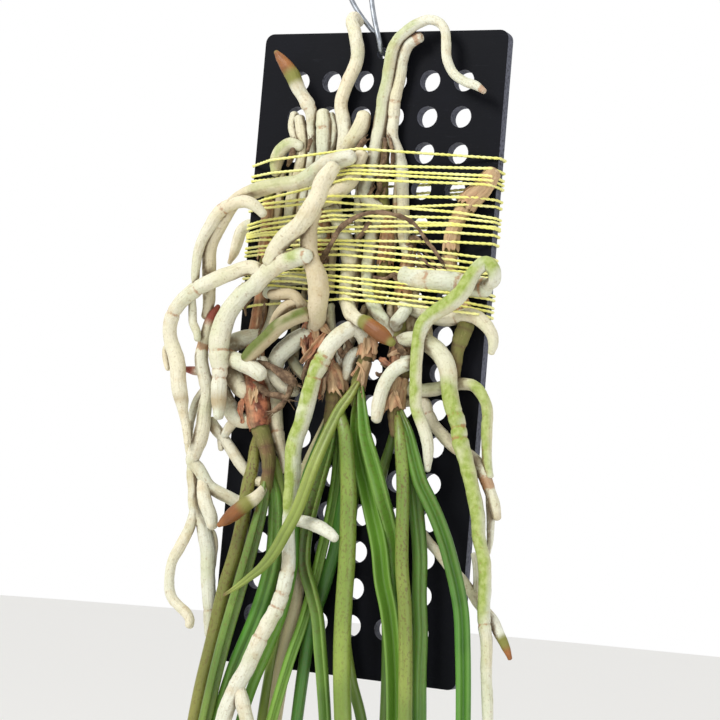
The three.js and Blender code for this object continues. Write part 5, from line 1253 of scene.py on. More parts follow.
def spread_flow(mesh: Mesh, strands: Sequence[Strand]) -> None:
    """Turns each vertex's flow into its distance along and its place round the strand.

    Args:
        mesh: The swept mesh, whose flow holds the distance along in its first number.
        strands: The strands that it was swept from.
    """
    places = vectors(mesh.vertices, "co")
    layer = mesh.attributes["flow"]
    flow = vectors(layer.data, "vector")
    centres = np.vstack([strand.path for strand in strands]) * MM + ORIGIN
    alongs = np.concatenate([lengths(strand.path) * MM for strand in strands])
    which = np.concatenate([np.full(len(strand.path), i * BRANCH_STEP)
                            for i, strand in enumerate(strands)])
    for tag in np.unique(which):
        own = np.abs(flow[:, 2] - tag) < 0.01
        keep = which == tag
        middle = np.stack([np.interp(flow[own, 0], alongs[keep], centres[keep][:, axis])
                           for axis in range(3)], axis=1)
        out = places[own] - middle
        flow[own, 1] = out[:, 0]
        flow[own, 2] = out[:, 2] + out[:, 1] * 0.7 + tag
    layer.data.foreach_set("vector", flow.ravel())


def find_nooks(pieces: Sequence[Piece], reach: float = 5.0, rays: int = 9) -> None:
    """Writes how much of each vertex's view is shut in by other growth close by.

    Args:
        pieces: The pieces, which shut in each other and themselves.
        reach: How far the view goes, in millimetres.
        rays: The number of looks at each vertex.
    """
    points, faces = [], []
    for piece in pieces:
        first = len(points)
        points.extend(vertex.co.copy() for vertex in piece.data.vertices)
        faces.extend([first + i for i in face.vertices] for face in piece.data.polygons)
    growth = BVHTree.FromPolygons(points, faces)
    rng = np.random.default_rng(NOOK_SEED)
    looks = [Vector(look).normalized() for look in rng.normal(0, 1, (rays, 3))]
    for piece in pieces:
        values = []
        for vertex in piece.data.vertices:
            start = vertex.co + vertex.normal * (0.4 * MM)
            aims = ((look + vertex.normal * 1.1).normalized() for look in looks)
            shut = (growth.ray_cast(start, aim, reach * MM)[0] is not None for aim in aims)
            values.append(sum(shut) / rays)
        store(piece.data, "nook", np.array(values))


class Section(Enum):
    """The shape of a leaf across its length, as depth and width of its groove."""

    ROUND = (0.30, 0.22)
    GROOVED = (0.55, 0.38)
    FOLDED = (0.85, 0.62)


@dataclass
class LeafSpec:
    """How one leaf looks beyond its route: its section and how much of each tint it has."""

    section: Section = Section.GROOVED
    olive: float = 0.0
    dark: float = 0.0
    light: float = 0.0
    old: float = 0.0
    speckle: float = 0.15
    brown: float = 0.0


@dataclass
class Leaves:
    """The pencil leaves, each drawn out to a point, with a groove along one side."""

    spacing: float = 2.2
    around: int = 28

    def section(self, shape: Section) -> tuple[np.ndarray, np.ndarray]:
        """A leaf's outline.

        Args:
            shape: Which section it has.

        Returns:
            Its points, 2 wide, and how near each lies to the groove's rim.
        """
        depth, width = shape.value
        angle = np.linspace(0, 2 * np.pi, self.around, endpoint=False)
        x = np.cos(angle)
        y = np.sin(angle) * 0.86
        upper = np.clip(np.sin(angle), 0, 1)
        dip = np.exp(-(x / width) ** 2) * upper
        y = y - dip * (0.86 + depth * 0.5) * depth * 1.5
        rim = np.exp(-((np.abs(x) - width * 1.25) / 0.16) ** 2) * (upper > 0.05)
        return np.stack([x, y], axis=1), rim

    def build(self, name: str, route: Route, looks: Sequence[str], seed: int) -> Piece:
        """Makes one leaf.

        Args:
            name: The node that it replaces.
            route: Its points.
            looks: Where its groove faces, its section, and pairs of a tint and its amount.
            seed: The seed for its unevenness.

        Returns:
            The piece.
        """
        turn, section, *tints = looks
        spec = LeafSpec(Section[section.upper()], **dict(zip(tints[::2], map(float, tints[1::2]))))
        rng = np.random.default_rng(seed)
        strand = Strand.through(route, self.spacing)
        angle = math.radians(float(turn))
        along = lengths(strand.path)
        sides, ups = carried_frames(strand.path, (math.sin(angle), -math.cos(angle), 0.0), True)
        twist = 0.22 * wander(along, 70.0, rng)
        outline, rim = self.section(spec.section)
        rows = []
        for i, (centre, radius) in enumerate(zip(strand.path, strand.radius)):
            cosine, sine = math.cos(twist[i]), math.sin(twist[i])
            side = sides[i] * cosine + ups[i] * sine
            up = ups[i] * cosine - sides[i] * sine
            rows.append(centre + radius * (outline[:, :1] * side + outline[:, 1:] * up))
        mesh = self.skin(name + "_blade", np.array(rows))
        around = np.tile(np.arange(self.around) / self.around, len(along))
        far = np.repeat(along, self.around) * MM
        girth = np.repeat(strand.radius, self.around) * MM
        turn_round = around * 2 * np.pi
        store(mesh, "flow", np.stack([far, girth * np.cos(turn_round),
                                      girth * np.sin(turn_round) + seed * 0.13], axis=1))
        store(mesh, "rim", np.tile(rim, len(along)))
        fade = np.repeat(wander(along, 30.0, rng), self.around)
        for key in ("olive", "dark", "light", "old", "speckle"):
            value = getattr(spec, key)
            if key == "speckle":
                value = value * np.repeat(np.clip(1.3 - along / 110.0, 0.3, 1.3), self.around)
            store(mesh, key, np.clip(value + 0.18 * fade * np.greater(value, 0.05), 0, 1))
        tip = np.clip(1 - (along[-1] - along) / 5.0, 0, 1)
        start = np.clip(1 - along / 11.0, 0, 1) * 0.35
        dry = np.repeat(np.maximum(tip, start), self.around)
        store(mesh, "bark", dry * (1 - spec.brown) + spec.brown)
        mesh.materials.append(LeafSkin().build())
        piece = object_from(mesh.name, mesh)
        return ride(piece, [name])

    @staticmethod
    def skin(name: str, rows: np.ndarray) -> Mesh:
        """Joins rows of points into a closed smooth tube.

        Args:
            name: The mesh's name.
            rows: One row of points for each station, in millimetres.

        Returns:
            The mesh, in the row frame and in metres.
        """
        count, around = rows.shape[:2]
        points = (rows.reshape(-1, 3) * MM + ORIGIN).tolist()
        faces = []
        for i in range(count - 1):
            for k in range(around):
                a, b = i * around + k, i * around + (k + 1) % around
                faces.append((a, b, b + around, a + around))
        faces.append(tuple(range(around))[::-1])
        faces.append(tuple(range((count - 1) * around, count * around)))
        mesh = bpy.data.meshes.new(name)
        mesh.from_pydata(points, [], faces)
        outward(mesh)
        mesh.shade_smooth()
        return mesh


def outward(mesh: Mesh) -> None:
    """Turns a closed mesh's faces outwards.

    Args:
        mesh: The mesh.
    """
    work = bmesh.new()
    work.from_mesh(mesh)
    bmesh.ops.recalc_face_normals(work, faces=work.faces)
    work.to_mesh(mesh)
    work.free()


def paper(name: str, places: np.ndarray, faces: list[tuple[int, ...]], flow: np.ndarray,
          pale: np.ndarray, side: float) -> Piece:
    """Makes thin dry paper.

    Args:
        name: The piece's name.
        places: Its points, in millimetres.
        faces: Its faces.
        flow: Where each point lies along and across the veins, in millimetres.
        pale: How straw-coloured each point is.
        side: The side of the faces that the thickness goes to, 1 or -1.

    Returns:
        The piece.
    """
    mesh = bpy.data.meshes.new(name)
    mesh.from_pydata((places * MM + ORIGIN).tolist(), [], faces)
    store(mesh, "flow", flow * MM)
    store(mesh, "pale", pale)
    mesh.shade_smooth()
    mesh.materials.append(PaperySheath().build())
    piece = object_from(name, mesh)
    wall = piece.modifiers.new("wall", "SOLIDIFY")
    wall.thickness = PAPER_THICK * MM
    wall.offset = side
    return piece


@dataclass
class Sheath:
    """A torn papery leaf base round a stem.

    Attributes:
        stem: The stem that it wraps.
        start: Where it starts, in the stem's route points.
        end: Where it ends.
        flare: How far its torn end stands off the stem, as a share of the radius.
        pale: 0 for reddish, 1 for straw.
        gap: The share of the way round that is torn open.
        facing: Where the middle of the sheath faces, in degrees from the viewer.
        upward: Whether its torn end is the upper one.
    """

    stem: str
    start: float
    end: float
    flare: float = 0.3
    pale: float = 0.0
    gap: float = 0.3
    facing: float = 0.0
    upward: bool = False


@dataclass
class Stems:
    """The shoots' old stems, ringed by leaf scars, and their torn sheaths."""

    sweeper: StrandSweeper
    spacing: float = 0.8
    sides: int = 18
    grain: tuple[float, float] = (1.8, 0.5)
    made: dict[str, Piece] = field(default_factory=dict)
    strands: dict[str, Strand] = field(default_factory=dict)

    def build(self, name: str, route: Route, seed: int) -> Piece:
        """Makes one stem.

        Args:
            name: The node that it replaces.
            route: Its points.
            seed: The seed for its unevenness.

        Returns:
            The piece.
        """
        rng = np.random.default_rng(seed)
        strand = Strand.through(route, self.spacing)
        along = lengths(strand.path)
        count = len(along)
        tone = {"rust": np.zeros(count),
                "olive": np.clip(0.1 + 0.8 * wander(along, 12.0, rng), 0, 1)}
        swell = 1 + 0.04 * wander(along, 5.0, rng)
        place = rng.uniform(3, 6)
        while place < along[-1] - 3:
            swell += 0.05 * np.exp(-((along - place) / 1.1) ** 2)
            swell -= 0.04 * np.exp(-((along - place - 1.6) / 0.8) ** 2)
            scar = 0.6 * np.exp(-((along - place - 1.4) / 0.6) ** 2)
            tone["rust"] = np.maximum(tone["rust"], scar)
            place += rng.uniform(6, 11)
        strand.radius = strand.radius * swell
        tone["flow"] = np.stack([along * MM, np.zeros(count), np.zeros(count)], axis=1)
        strand.tone = tone
        self.strands[name] = strand
        piece = self.sweeper.sweep(name + "_bark", [strand], StemSkin().build(), self.sides,
                                   self.grain, seed)
        self.made[name] = piece
        return ride(piece, [name])

    def wrap(self, name: str, sheaths: Sequence[Sheath], seed: int) -> Piece:
        """Makes torn sheaths round stems as one piece.

        Args:
            name: The piece's name.
            sheaths: The sheaths.
            seed: The seed for their tears.

        Returns:
            The piece.
        """
        rng = np.random.default_rng(seed)
        points, faces, flow, pale = [], [], [], []
        for sheath in sheaths:
            strand = self.strands[sheath.stem]
            keep = (strand.index >= sheath.start) & (strand.index <= sheath.end)
            order = slice(None, None, -1 if sheath.upward else 1)
            path, radius = strand.path[keep][order], strand.radius[keep][order]
            sides, ups = carried_frames(path, VIEWER, True)
            steps, around = len(path), 30
            first = len(points)
            tears = rng.uniform(0, 1, around)
            tears = (tears + np.roll(tears, 1)) / 2
            for i in range(steps):
                t = i / (steps - 1)
                for k in range(around):
                    u = (k / (around - 1) - 0.5) * (1 - sheath.gap)
                    angle = 2 * np.pi * u + math.radians(sheath.facing)
                    reach = t * (0.78 + 0.22 * tears[k])
                    j = min(int(reach * (steps - 1)), steps - 1)
                    crimp = 0.1 * math.sin(9 * angle + 3 * t + seed) * reach
                    lift_off = 1.06 + sheath.flare * reach ** 2 + crimp
                    off = radius[j] * lift_off + 0.25
                    out = ups[j] * math.cos(angle) + sides[j] * math.sin(angle)
                    points.append(path[j] + out * off)
                    flow.append((reach * steps * 0.8, off * math.cos(angle), off * math.sin(angle)))
                    pale.append(min(max(sheath.pale + 0.9 * tears[k] - 0.3 - 0.3 * reach, 0), 1))
            for i in range(steps - 1):
                for k in range(around - 1):
                    a = first + i * around + k
                    faces.append((a, a + 1, a + 1 + around, a + around))
        piece = paper(name, np.array(points), faces, np.array(flow), np.array(pale), 1.0)
        return ride(piece, [])


@dataclass
class Twine:
    """Two-ply twine wound tight over stems and roots, and straight across the plate's back."""

    sweeper: StrandSweeper
    radius: float = TWINE_RADIUS
    ply_offset: float = 0.34
    ply_girth: float = 0.74
    spacing: float = 0.75
    sides: int = 5
    grain: tuple[float, float] = (0.6, 0.06)

    def crossings(self, edges: np.ndarray, sheet: Callable[[np.ndarray], np.ndarray]) -> np.ndarray:
        """Where edges pass through the sheet in which a turn lies.

        Args:
            edges: Pairs of places.
            sheet: What gives its height at each x.

        Returns:
            The x and y pairs.
        """
        rise = edges[:, 0, 2] - sheet(edges[:, 0, 0])
        fall = edges[:, 1, 2] - sheet(edges[:, 1, 0])
        cut = (rise > 0) != (fall > 0)
        k = (rise[cut] / (rise[cut] - fall[cut]))[:, None]
        return edges[cut, 0, :2] * (1 - k) + edges[cut, 1, :2] * k

    def tight(self, places: np.ndarray, sign: int) -> np.ndarray:
        """The chain that a tight string takes over places.

        Args:
            places: The x and y pairs that it lies over.
            sign: -1 for the plate's front, 1 for its back.

        Returns:
            The chain's points from left to right.
        """
        angles = np.arange(8) * np.pi / 4
        ring = np.stack([np.cos(angles), np.sin(angles)], axis=1) * (self.radius + 0.1)
        padded = (places[:, None, :] + ring[None]).reshape(-1, 2) * (1, sign)
        padded = padded[np.lexsort((padded[:, 1], padded[:, 0]))]
        chain: list[np.ndarray] = []
        for point in padded:
            while len(chain) > 1:
                a, b = chain[-2], chain[-1]
                if (b[0] - a[0]) * (point[1] - a[1]) - (b[1] - a[1]) * (point[0] - a[0]) < 0:
                    break
                chain.pop()
            chain.append(point)
        return np.array(chain) * (1, sign)

    def winding(self, bound: Sequence[Piece]) -> np.ndarray:
        """The whole twine's middle line.

        Args:
            bound: The pieces that it binds.

        Returns:
            Its points in order.
        """
        edges = []
        for piece in bound:
            mesh = piece.data
            places = (vectors(mesh.vertices, "co") - ORIGIN) / MM
            pairs = np.empty(len(mesh.edges) * 2, int)
            mesh.edges.foreach_get("vertices", pairs)
            edges.append(places[pairs.reshape(-1, 2)])
        edges = np.concatenate(edges)
        half = PLATE_WIDTH / 2
        line = []
        for number, (left, middle, right) in enumerate(TURNS):
            following = TURNS[number + 1][0] if number + 1 < len(TURNS) else left - 3
            front = functools.partial(np.interp, xp=(-half, 0, half), fp=(left, middle, right))
            back = functools.partial(np.interp, xp=(-half, half), fp=(following, right))
            for sheet, sign, face in ((front, -1, 0.0), (back, 1, PLATE_THICK)):
                places = self.crossings(edges, sheet)
                near = (np.abs(places[:, 0]) <= half) & ((places[:, 1] - face) * sign > -1)
                places = np.vstack([places[near], [[-half, face], [half, face]]])
                chain = self.tight(places, sign)
                if sign > 0:
                    chain = chain[::-1]
                line.extend((x, y, float(sheet(np.float64(x)))) for x, y in chain)
        return np.array(line)

    def plies(self, line: np.ndarray) -> list[Strand]:
        """The two plies that turn round the middle line.

        Args:
            line: The middle line's points.

        Returns:
            The plies.
        """
        dense = [line[0]]
        for a, b in zip(line[:-1], line[1:]):
            steps = max(1, int(np.linalg.norm(b - a) / self.spacing))
            dense.extend(a + (b - a) * (i + 1) / steps for i in range(steps))
        path = np.array(dense)
        path = path[np.concatenate([[True], np.linalg.norm(np.diff(path, axis=0), axis=1) > 0.15])]
        sides, ups = carried_frames(path)
        angle = lengths(path) * 2 * np.pi / TWINE_LAY
        plies = []
        for start in (0.0, np.pi):
            out = sides * np.cos(angle + start)[:, None] + ups * np.sin(angle + start)[:, None]
            plies.append(Strand(path + out * self.radius * self.ply_offset,
                                np.full(len(path), self.radius * self.ply_girth),
                                np.arange(len(path), dtype=float)))
        return plies

    def build(self, bound: Sequence[Piece]) -> Piece:
        """Makes the twine.

        Args:
            bound: The pieces that it binds.

        Returns:
            The piece.
        """
        plies = self.plies(self.winding(bound))
        piece = self.sweeper.sweep("twine_winding", plies, CottonTwine().build(), self.sides,
                                   self.grain, TWINE_SEED)
        return ride(piece, ["twine"])


@dataclass
class Hanger:
    """The bent wire: open hook, wrapped neck and the loop through the plate's hole."""

    sweeper: StrandSweeper

    def build(self) -> Piece:
        """Makes the hanger.

        Returns:
            The piece.
        """
        hook_x, hook_y, hook_z = HOOK_CENTRE
        points = [(hook_x + HOOK_RADIUS * 1.05, hook_y, hook_z - HOOK_RADIUS * 1.05)]
        for degrees in (-50, -25, 0, 30, 60, 90, 120, 150, 180, 210, 235):
            angle = math.radians(degrees)
            points.append((hook_x + HOOK_RADIUS * math.cos(angle), hook_y,
                           hook_z + HOOK_RADIUS * math.sin(angle)))
        points += [
            (hook_x - 0.6, hook_y, hook_z - HOOK_RADIUS * 1.35),
            (hook_x, hook_y, NECK_BOTTOM + 10), (hook_x, hook_y, NECK_BOTTOM), (-12.6, 1.4, 176),
            (-9.6, -0.8, 154), (-5.6, -2, 132), (-2.6, -2.6, 121.6), (-0.5, -2.9, 116),
            (0, -1.6, 112.6), (0, 2.5, WIRE_HOLE_HEIGHT), (0, 6.6, 112.6), (-1.4, 8, 116),
            (-8.8, 7.4, 122.6), (-18.4, 7, 134.6), (-22.4, 6.2, 146), (-22.6, 5.2, 160),
            (-18.6, 4, 178), (-15.6, 3.4, NECK_BOTTOM + 0.6)]
        strands, wrap = [], []
        around, reach = 12, WIRE_RADIUS * 1.95
        for i in range(NECK_TURNS * around + 1):
            angle = 2 * math.pi * i / around + math.pi / 2
            wrap.append((hook_x + reach * math.cos(angle), hook_y + reach * math.sin(angle),
                         NECK_BOTTOM + NECK_PITCH * i / around))
        for line in (points, wrap):
            path, index = smooth_path(np.array(line, float), 0.8)
            radius = np.full(len(path), WIRE_RADIUS)
            radius[0] = radius[-1] = WIRE_RADIUS * 0.8
            strands.append(Strand(path, radius, index))
        piece = self.sweeper.sweep("wire_hanger", strands, GalvanisedWire().build())
        return ride(piece, ["hanger"])


@dataclass
class Plate:
    """The perforated plate, cut from its outline by a Geometry Nodes tree."""

    width: float = PLATE_WIDTH
    height: float = PLATE_HEIGHT
    thick: float = PLATE_THICK
    edge: float = 0.35

    def sizes(self) -> dict[str, float]:
        """The lengths that the tree takes, in millimetres."""
        return {"Width": self.width, "Height": self.height, "Thickness": self.thick,
                "Corner": CORNER_RADIUS, "Hole radius": HOLE_DIAMETER / 2,
                "Field width": HOLE_PITCH * (HOLE_COLUMNS - 1),
                "Field height": HOLE_PITCH * (HOLE_ROWS - 1),
                "Wire hole radius": WIRE_HOLE_DIAMETER / 2, "Wire hole height": WIRE_HOLE_HEIGHT}

    def tree(self) -> tuple[Tree, dict[str, str]]:
        """Builds the tree.

        Returns:
            The tree, and its inputs' identifiers by name.
        """
        sockets = dict.fromkeys(self.sizes(), "Float") | {"Columns": "Int", "Rows": "Int"}
        tree, keys = open_tree("perforated_plate", sockets)
        given = add_node(tree, "NodeGroupInput").outputs
        sheet = add_node(tree, "GeometryNodeCurvePrimitiveQuadrilateral",
                         {"Width": given["Width"], "Height": given["Height"]}, mode="RECTANGLE")
        rounded = add_node(tree, "GeometryNodeFilletCurve",
                           {"Count": 6, "Curve": sheet, "Radius": given["Corner"]}, mode="POLY")
        grid = add_node(tree, "GeometryNodeMeshGrid",
                        {"Size X": given["Field width"], "Size Y": given["Field height"],
                         "Vertices X": given["Columns"], "Vertices Y": given["Rows"]})
        hole = add_node(tree, "GeometryNodeCurvePrimitiveCircle",
                        {"Resolution": 24, "Radius": given["Hole radius"]}, mode="RADIUS")
        holes = add_node(tree, "GeometryNodeInstanceOnPoints", {"Points": grid, "Instance": hole})
        eye = add_node(tree, "GeometryNodeCurvePrimitiveCircle",
                       {"Resolution": 18, "Radius": given["Wire hole radius"]}, mode="RADIUS")
        up = add_node(tree, "ShaderNodeCombineXYZ", {"Y": given["Wire hole height"]})
        eye_up = add_node(tree, "GeometryNodeTransform", {"Geometry": eye, "Translation": up})
        lines = add_node(tree, "GeometryNodeJoinGeometry", {0: [rounded, holes, eye_up]})
        flat = add_node(tree, "GeometryNodeRealizeInstances", {"Geometry": lines})
        fill = add_node(tree, "GeometryNodeFillCurve", {"Curve": flat}, mode="NGONS")
        raised = add_node(tree, "GeometryNodeExtrudeMesh",
                          {"Individual": False, "Mesh": fill,
                           "Offset Scale": given["Thickness"]}, mode="FACES")
        under = add_node(tree, "GeometryNodeFlipFaces", {"Mesh": fill})
        both = add_node(tree, "GeometryNodeJoinGeometry", {0: [raised, under]})
        sewn = add_node(tree, "GeometryNodeMergeByDistance", {"Distance": SEAM, "Geometry": both})
        close_tree(tree, sewn, given["Material"])
        return tree, keys

    def build(self) -> Piece:
        """Makes the plate.

        Returns:
            The piece.
        """
        tree, keys = self.tree()
        inputs = {keys[name]: value * MM for name, value in self.sizes().items()}
        inputs |= {keys["Columns"]: HOLE_COLUMNS, keys["Rows"]: HOLE_ROWS,
                   keys["Material"]: MouldedPlastic().build()}
        mesh = run_tree(tree, "perforated_plate", bpy.data.meshes.new("plate_line"), inputs)
        upright = Matrix.Rotation(math.pi / 2, 4, "X")
        back = Vector(ORIGIN) + Vector((0, self.thick * MM, 0))
        mesh.transform(Matrix.Translation(back) @ upright)
        # Faces of the holes' walls, which the plastic paints lighter grey as painted reflected
        # light with some wear.
        walls = np.array([abs(face.normal.y) < 0.5 for face in mesh.polygons], float)
        layer = mesh.attributes.new("wall", "FLOAT", "FACE")
        layer.data.foreach_set("value", walls.astype(np.float32))
        plate = object_from("perforated_plate", mesh)
        edge = plate.modifiers.new("edge", "BEVEL")
        edge.width = self.edge * MM
        edge.segments = 2
        edge.limit_method = "ANGLE"
        edge.angle_limit = math.radians(40)
        mesh.set_sharp_from_angle(angle=math.radians(35))
        return ride(plate, ["plate"])


@dataclass
class DryRemains:
    """What is dead: an old flower spike, root cores, and the frayed fibres at their ends."""

    sweeper: StrandSweeper
    spacing: float = 0.6

    def strand(self, route: Route, rng: Chance) -> Strand:
        """One dead strand, shrunken and uneven.

        Args:
            route: Its points.
            rng: The source of chance.

        Returns:
            The strand.
        """
        strand = Strand.through(route, self.spacing)
        along = lengths(strand.path)
        uneven = 1 + 0.22 * wander(along, 2.2, rng) + 0.1 * wander(along, 6.0, rng)
        strand.radius = strand.radius * uneven
        return strand

    def fray(self, base: np.ndarray, direction: np.ndarray, length: float, count: int,
             rng: Chance) -> list[Strand]:
        """Fine fibres that stand out from a broken end.

        Args:
            base: Where they start.
            direction: Where they point.
            length: The longest one's length.
            count: How many there are.
            rng: The source of chance.

        Returns:
            The fibres.
        """
        fibres = []
        direction = direction / np.linalg.norm(direction)
        for _ in range(count):
            aim = direction + rng.normal(0, FRAY_SPREAD, 3)
            aim /= np.linalg.norm(aim)
            reach = length * rng.uniform(0.5, 1)
            curl = rng.normal(0, 0.16, 3)
            t = np.linspace(0, 1, 9)[:, None]
            path = base + rng.normal(0, 0.35, 3) + aim * reach * t + curl * reach * t ** 2
            fibres.append(Strand(path, np.linspace(0.22, 0.06, 9), np.arange(9.0)))
        return fibres

    def build(self, name: str, branches: Sequence[Route], seed: int) -> Piece:
        """Makes one dead piece with its frayed ends.

        Args:
            name: The node that it replaces.
            branches: Their routes.
            seed: The seed for its unevenness.

        Returns:
            The piece.
        """
        rng = np.random.default_rng(seed)
        strands = [self.strand(route, rng) for route in branches]
        fibres = []
        for strand in strands:
            fibres += self.fray(strand.path[4], strand.path[4] - strand.path[8], 5.5, 9, rng)
            fibres += self.fray(strand.path[-5], strand.path[-5] - strand.path[-9], 4.5, 8, rng)
        piece = self.sweeper.sweep(name + "_fibre", strands + fibres, DryFibre().build(), 8,
                                   (0.9, 0.35), seed)
        return ride(piece, [name])

    def shreds(self, seed: int) -> Piece:
        """Makes the torn papery ribbons of old leaf bases that curl off the stems.

        Args:
            seed: The seed for their tears.

        Returns:
            The piece.
        """
        rng = np.random.default_rng(seed)
        across = np.linspace(-1, 1, 7)
        places, faces, flow, pale = [], [], [], []
        first = 0
        for number, (label, (route,)) in enumerate(SHREDS):
            strand = Strand.through(route, self.spacing)
            along = lengths(strand.path)
            sides, ups = carried_frames(strand.path, VIEWER, True)
            curl = 0.5 + 0.5 * wander(along, 7.0, rng)
            for u in across:
                ragged = 1 + (0.35 * abs(u) ** 3) * wander(along, 1.3, rng)
                width = (u * ragged * strand.radius)[:, None]
                lifted = (u * u - 0.4) * curl * strand.radius + 0.25 * wander(along, 2.5, rng)
                places.append(strand.path + sides * width + ups * lifted[:, None])
                own = np.full(len(along), float(number))
                flow.append(np.stack([along, width[:, 0], own], axis=1))
                pale.append(np.clip(float(label[0]) + 0.4 * wander(along, 3.0, rng), 0, 1))
            count = len(along)
            for k in range(len(across) - 1):
                faces.extend((a, a + count, a + count + 1, a + 1)
                             for a in range(first + k * count, first + (k + 1) * count - 1))
            first += count * len(across)
        piece = paper("papery_shreds", np.vstack(places), faces, np.vstack(flow),
                      np.concatenate(pale), -1.0)
        return ride(piece, [])

    def scraps(self, seed: int) -> Piece:
        """Makes the root cores and crumbs of bark that hang on among the bound roots.

        Args:
            seed: The seed for their unevenness.

        Returns:
            The piece.
        """
        rng = np.random.default_rng(seed)
        strands = []
        for _, (route,) in SCRAPS:
            strand = self.strand(route, rng)
            strands.append(strand)
            strands += self.fray(strand.path[-5], strand.path[-5] - strand.path[-9], 3.0, 4, rng)
        piece = self.sweeper.sweep("dry_scraps", strands, DryFibre().build(), 7, (0.9, 0.5), seed)
        return ride(piece, [])


class Studio:
    """White surroundings, soft lights, a pale floor and the photograph's camera."""

    def build(self) -> None:
        """Sets up the surroundings."""
        scene = bpy.context.scene
        scene.view_settings.view_transform = "Standard"
        world = bpy.data.worlds.new("white_studio")
        scene.world = world
        world.use_nodes = True
        backdrop = world.node_tree.nodes["Background"]
        backdrop.inputs["Color"].default_value = (1, 1, 1, 1)
        seen = add_node(world.node_tree, "ShaderNodeLightPath").outputs["Is Camera Ray"]
        ambient = add_node(world.node_tree, "ShaderNodeMapRange",
                           {"To Min": AMBIENT, "To Max": 1.0, "Value": seen})
        feed(world.node_tree, backdrop.inputs["Strength"], ambient)
        self.light("key_softbox", (-450, -850, 750), (10, 0, 0), 420, 10.5)
        self.light("fill_softbox", (900, -700, 100), (10, 0, -40), 700, 2.5)
        self.floor()
        self.camera()

    def light(self, name: str, place: Sequence[float], aim: Sequence[float], size: float,
              power: float) -> None:
        """Adds a soft lamp.

        Args:
            name: The lamp's name.
            place: Where it stands, in millimetres from the plate's front face.
            aim: What it points at.
            size: Its side in millimetres.
            power: Its power in watts.
        """
        lamp = bpy.data.lights.new(name, "AREA")
        lamp.size = size * MM
        lamp.energy = power
        stand = bpy.data.objects.new(name, lamp)
        bpy.context.scene.collection.objects.link(stand)
        here = np.array(place) * MM + ORIGIN
        stand.location = here
        towards = Vector(np.array(aim) * MM + ORIGIN - here)
        stand.rotation_euler = towards.to_track_quat("-Z", "Y").to_euler()

    def floor(self) -> None:
        """Lays the pale floor below the leaves' tips."""
        low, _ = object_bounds()
        mesh = bpy.data.meshes.new("floor")
        angles = [2 * math.pi * i / FLOOR_SIDES for i in range(FLOOR_SIDES)]
        rim = [(FLOOR_RADIUS * math.cos(angle), FLOOR_RADIUS * math.sin(angle),
                low[2] - FLOOR_DROP) for angle in angles]
        mesh.from_pydata(rim, [], [tuple(range(FLOOR_SIDES))])
        mesh.materials.append(PaleFloor().build())
        object_from("floor", mesh)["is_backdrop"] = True

    def camera(self) -> None:
        """Puts the camera where the photograph was taken."""
        lens = bpy.data.cameras.new("camera")
        lens.lens = LENS
        lens.sensor_width = SENSOR
        lens.clip_start = 0.01
        eye = bpy.data.objects.new("camera", lens)
        bpy.context.scene.collection.objects.link(eye)
        right, up = Vector(CAMERA_RIGHT).normalized(), Vector(CAMERA_UP)
        up = (up - right * up.dot(right)).normalized()
        turn = Matrix((right, up, right.cross(up))).transposed().to_4x4()
        eye.matrix_world = Matrix.Translation(np.array(EYE) * MM + ORIGIN) @ turn
        bpy.context.scene.camera = eye


# What each root shows, from the photograph
ROOT_LOOKS = read_looks("""
root_pointed 0.2 0.05 0 0.9: ring 0 7.6,tip 0 10.2 13.5;
root_top_fork 0.75 0.1:;
root_arch 0.3 0.15 0 0.5: green 0 5 12,rust 0 20.5 21;
root_beside_arch 0.5 0.15 0 0.9: rust 0 12.5 13;
root_column_pale 0.25 0.25:;
root_group_left 0.55 0.1 0 0.6: green 2 0.5 5,purple 2 5.4 6;
root_stout 0.35 0.2:;
root_crossing 0.8 0.05 0.1:;
root_brown_tip 0.5 0.1 0 0.9: ring 0 5,tip 0 11 15;
root_grey_bound 0.2 0.1:;
root_middle 0.9 0 0.55:;
root_fork_left 0.45 0.12 0 0.9: ring 0 8,ring 1 0,green 1 0.5 2,ring 1 15,ring 1 16,
bark 1 17.6 19,ring 2 6,ring 2 9,bark 2 16.7 17.3;
root_outer_left 0.6 0.08 0.1 0.4: green 0 3 8,ring 1 4,bark 1 11 12;
root_through_hole 0.6 0.1 0 0.9: bark 0 8 9;
root_striped 0.8 0 0.8 0.95: green 0 0 20;
root_thick_low 0.35 0.15:;
root_straight_low 0.6 0.05:;
root_elbow_left 0.55 0.1 0 0.9: rust 1 0 1;
root_low_left 0.5 0.08:;
root_diagonal 0.7 0.05 0.1 0.9: bark 1 5 9;
root_knee_left 0.5 0.1 0 0.9: rust 0 19.5 20.5,purple 0 23 26,purple 1 1 4;
root_tip_left 0.5 0 0 0.9: tip 0 1.8 6;
root_long_front 0.2 0.04 0 1.5: ring 0 6,green 0 6 16,ring 0 21;
root_cross_right 0 0.2 0 0.9 1.3: rust 0 2.4 2.6,rust 0 4.6 4.8,rust 0 6.5 6.7;
root_green_right 0.4 0.3 0 1.1: green 0 1.5 17;
root_over_edge 0.5 0.05 0 0.9: ring 0 5;
root_long_right 0.4 0.3 0 1: ring 0 9,green 0 5.5 21,ring 0 21;
root_elbow_right 0.5 0.4 0 0.9: green 0 6 13;
root_back_right 0.6 0.05 0 0.9: ring 0 3,rust 0 9 10,bark 0 12 14;
root_far_right 0.5 0.1 0 0.9: tip 0 8.5 11;
""")

